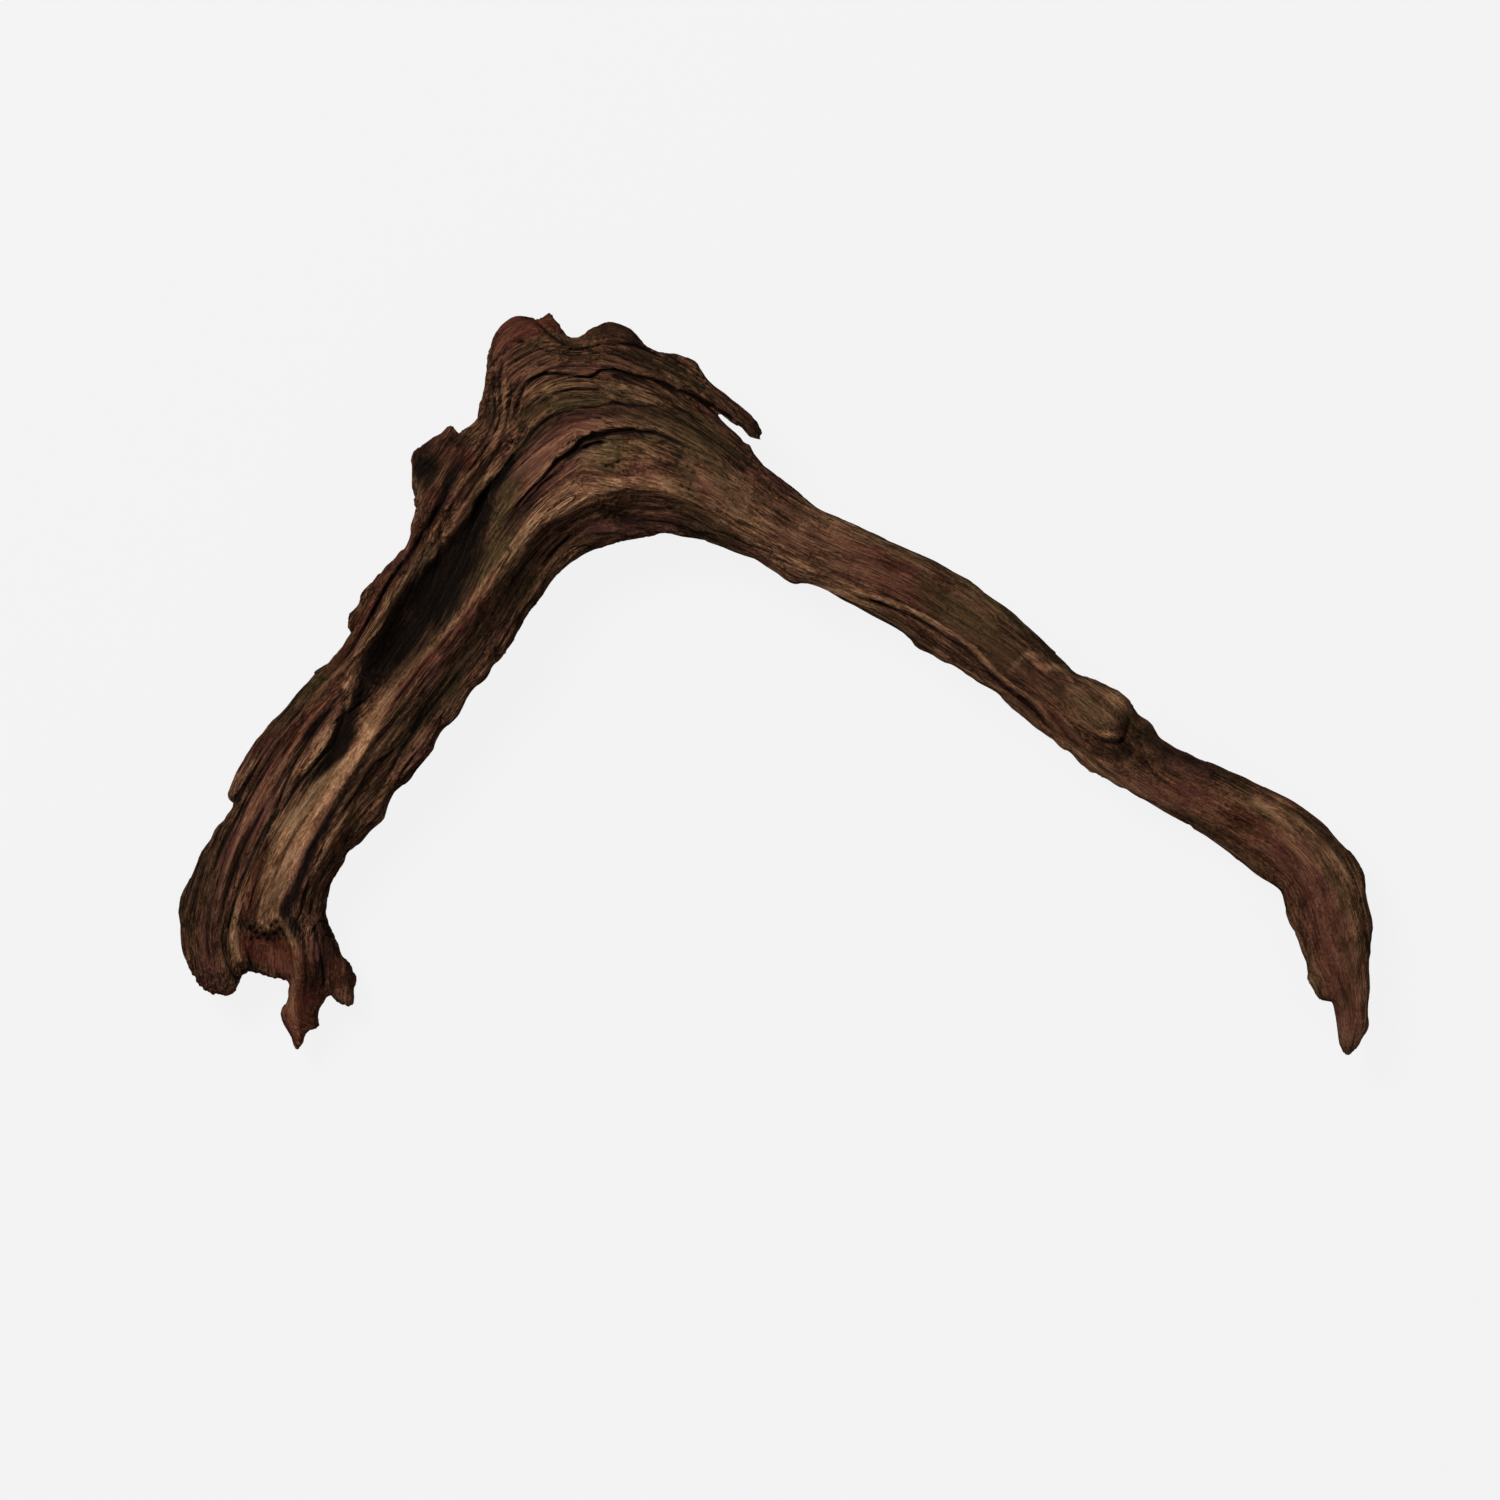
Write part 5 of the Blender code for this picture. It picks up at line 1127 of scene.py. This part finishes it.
    def color(
        self,
        tree: bpy.types.NodeTree,
        shade: bpy.types.NodeSocket,
        ragged: bpy.types.NodeSocket,
        checks: bpy.types.NodeSocket,
    ) -> bpy.types.NodeSocket:
        """The colour of the wood: streaks, tones laid over them, and painted shade in the furrows and
        hairline cracks, with ridge tops painted paler as rubbed wood and as painted highlight.
        """
        color = self.ramp(tree, shade, (self.dark, self.body, self.light))
        rubbed = self.ramp(tree, shade, (self.worn_dark, self.worn, self.worn_light))
        patches = self.pattern(tree, length=38, width=15, detail=3)
        for low, high, hue in ((0.52, 0.7, self.rose), (0.48, 0.3, self.moss)):
            tint = add_node(tree, "ShaderNodeMapRange", {}, {
                "Value": patches, "From Min": low, "From Max": high, "To Max": 0.5})
            color, rubbed = (add_node(tree, "ShaderNodeMix", {"data_type": "RGBA"}, {
                0: tint.outputs["Result"], 6: under, 7: linear(hue)}).outputs[2]
                for under in (color, rubbed))
        # The last tone lays painted shade, near black, where the wood lies in shade.
        for tone, hue, strength in (
            (Tone.WORN, rubbed, 1.0), (Tone.ROSE, linear(self.rose), 0.5),
            (Tone.RED, linear(self.red), 0.55), (Tone.MOSS, linear(self.moss), 0.6),
            (Tone.DARK_AND_SHADE, linear(self.shade_black), 0.95),
        ):
            color = self.lay(tree, color, tone.value, hue, strength, ragged)
        # Ridge tops that stand up are painted paler, partly as rubbed wood and partly as painted
        # highlight, and carved furrows and cracks below the surface are painted near black as painted
        # shade.
        relief = add_node(tree, "ShaderNodeAttribute", {"attribute_name": "relief"})
        high = add_node(tree, "ShaderNodeMapRange", {}, {
            "Value": relief.outputs["Fac"], "From Min": 0.4, "From Max": 1.8, "To Max": 0.3})
        color = add_node(tree, "ShaderNodeMix", {"data_type": "RGBA"}, {
            0: high.outputs["Result"], 6: color, 7: linear(self.worn)}).outputs[2]
        deep = add_node(tree, "ShaderNodeMapRange", {}, {
            "Value": relief.outputs["Fac"], "From Min": -0.4, "From Max": -1.8, "To Max": 0.9})
        color = add_node(tree, "ShaderNodeMix", {"data_type": "RGBA"}, {
            0: deep.outputs["Result"], 6: color, 7: linear(self.shade_black)}).outputs[2]
        # The hairline cracks are painted near black, as painted shade inside them.
        crack = add_node(tree, "ShaderNodeMath", {"operation": "MULTIPLY"}, {0: checks, 1: 0.85})
        return add_node(tree, "ShaderNodeMix", {"data_type": "RGBA"}, {
            0: crack.outputs["Value"], 6: color, 7: linear(self.shade_black)}).outputs[2]

    def ramp(
        self, tree: bpy.types.NodeTree, shade: bpy.types.NodeSocket, colors: tuple[str, str, str]
    ) -> bpy.types.NodeSocket:
        """The colour at each shade, from the dark streaks over the body to the light ones."""
        ramp = add_node(tree, "ShaderNodeValToRGB", {}, {"Fac": shade})
        stops = ramp.color_ramp.elements
        stops[0].position, stops[0].color = 0.2, linear(colors[0])
        stops[1].position, stops[1].color = 0.85, linear(colors[2])
        stops.new(0.5).color = linear(colors[1])
        return ramp.outputs["Color"]

    def lay(
        self,
        tree: bpy.types.NodeTree,
        color: bpy.types.NodeSocket,
        tone: str,
        hue: object,
        strength: float,
        ragged: bpy.types.NodeSocket,
    ) -> bpy.types.NodeSocket:
        """Lays one tone over the colour, with ragged edges along the grain.

        Args:
            tree: the material's node tree.
            color: the colour so far.
            tone: the name of the attribute that says where the tone is.
            hue: the tone's colour, or the socket with it.
            strength: how much of the colour the full tone hides.
            ragged: a pattern about zero that shifts the tone's edges.

        Returns:
            The socket with the new colour.
        """
        amount = add_node(tree, "ShaderNodeAttribute", {"attribute_name": tone})
        shifted = add_node(tree, "ShaderNodeMath", {"operation": "ADD"}, {
            0: amount.outputs["Fac"], 1: ragged})
        share = add_node(tree, "ShaderNodeMapRange", {}, {
            "Value": shifted.outputs["Value"], "From Min": 0.15, "From Max": 0.85,
            "To Max": strength})
        return add_node(tree, "ShaderNodeMix", {"data_type": "RGBA"}, {
            0: share.outputs["Result"], 6: color, 7: hue}).outputs[2]


@dataclass(frozen=True)
class Studio:
    """A white floor under soft light from the upper left, seen from straight above."""

    frame_width: float = 0.6  # width of the view at the height of the branch
    centre: tuple[float, float] = (-0.0102, -0.026)
    camera_height: float = 3.6
    branch_height: float = 0.025
    floor_size: float = 6.0
    floor_color: str = "#f3f3f3"
    floor_body: str = "#2c2c2c"  # what the light falls on, dark so that shadows stay faint
    floor_glow: float = 0.965

    def build(self) -> None:
        """Lays the floor and sets up the lights and the camera."""
        self.floor()
        self.lights()
        self.camera()
        bpy.context.scene.view_settings.view_transform = "Standard"

    def floor(self) -> None:
        """A plain pale floor at height zero."""
        flat = bmesh.new()
        bmesh.ops.create_grid(flat, x_segments=1, y_segments=1, size=self.floor_size / 2)
        mesh = bpy.data.meshes.new("floor")
        flat.to_mesh(mesh)
        flat.free()
        floor = bpy.data.objects.new("floor", mesh)
        bpy.context.scene.collection.objects.link(floor)
        material = bpy.data.materials.new("white_floor")
        material.use_nodes = True
        shader = material.node_tree.nodes["Principled BSDF"]
        shader.inputs["Base Color"].default_value = linear(self.floor_body)
        shader.inputs["Roughness"].default_value = 1.0
        shader.inputs["Specular IOR Level"].default_value = 0.0
        shader.inputs["Emission Color"].default_value = linear(self.floor_color)
        shader.inputs["Emission Strength"].default_value = self.floor_glow
        mesh.materials.append(material)
        floor.visible_diffuse = False
        floor.visible_glossy = False

    def lights(self) -> None:
        """A large soft light from the upper left, a weak one from the right, and a dim room."""
        self.area("key", Vector((-1.1, 1.1, 2.0)), size=0.8, watts=70)
        self.area("fill", Vector((1.2, -1.0, 1.6)), size=1.2, watts=8)
        world = bpy.data.worlds.new("room")
        world.use_nodes = True
        tree = world.node_tree
        view = add_node(tree, "ShaderNodeTexCoord")
        split = add_node(tree, "ShaderNodeSeparateXYZ", {}, {0: view.outputs["Generated"]})
        glow = add_node(tree, "ShaderNodeMapRange", {}, {
            "Value": split.outputs["Z"], "From Min": -0.1, "From Max": 0.8,
            "To Min": 0.03, "To Max": 0.4})
        room = tree.nodes["Background"]
        room.inputs["Color"].default_value = (1, 1, 1, 1)
        tree.links.new(glow.outputs["Result"], room.inputs["Strength"])
        bpy.context.scene.world = world

    def area(self, name: str, place: Vector, size: float, watts: float) -> None:
        """A square light that shines at the branch."""
        light = bpy.data.lights.new(name, "AREA")
        light.size = size
        light.energy = watts
        lamp = bpy.data.objects.new(name, light)
        lamp.location = place
        lamp.rotation_euler = place.to_track_quat("Z", "Y").to_euler()
        bpy.context.scene.collection.objects.link(lamp)

    def camera(self) -> None:
        """A long lens straight above the branch, with the image's upper edge towards +Y."""
        lens = bpy.data.cameras.new("overhead")
        distance = self.camera_height - self.branch_height
        lens.angle = 2 * math.atan(self.frame_width / 2 / distance)
        camera = bpy.data.objects.new("overhead", lens)
        camera.location = (*self.centre, self.camera_height)
        bpy.context.scene.collection.objects.link(camera)
        bpy.context.scene.camera = camera


def main() -> None:
    """Builds the branch and the studio."""
    logging.basicConfig(level=logging.INFO, format="%(name)s: %(message)s")
    piece = DriftwoodBranch().build()
    piece.data.calc_loop_triangles()
    log.info("%s: %d triangles", piece.name, len(piece.data.loop_triangles))
    Studio().build()


if __name__ == "__main__":
    main()
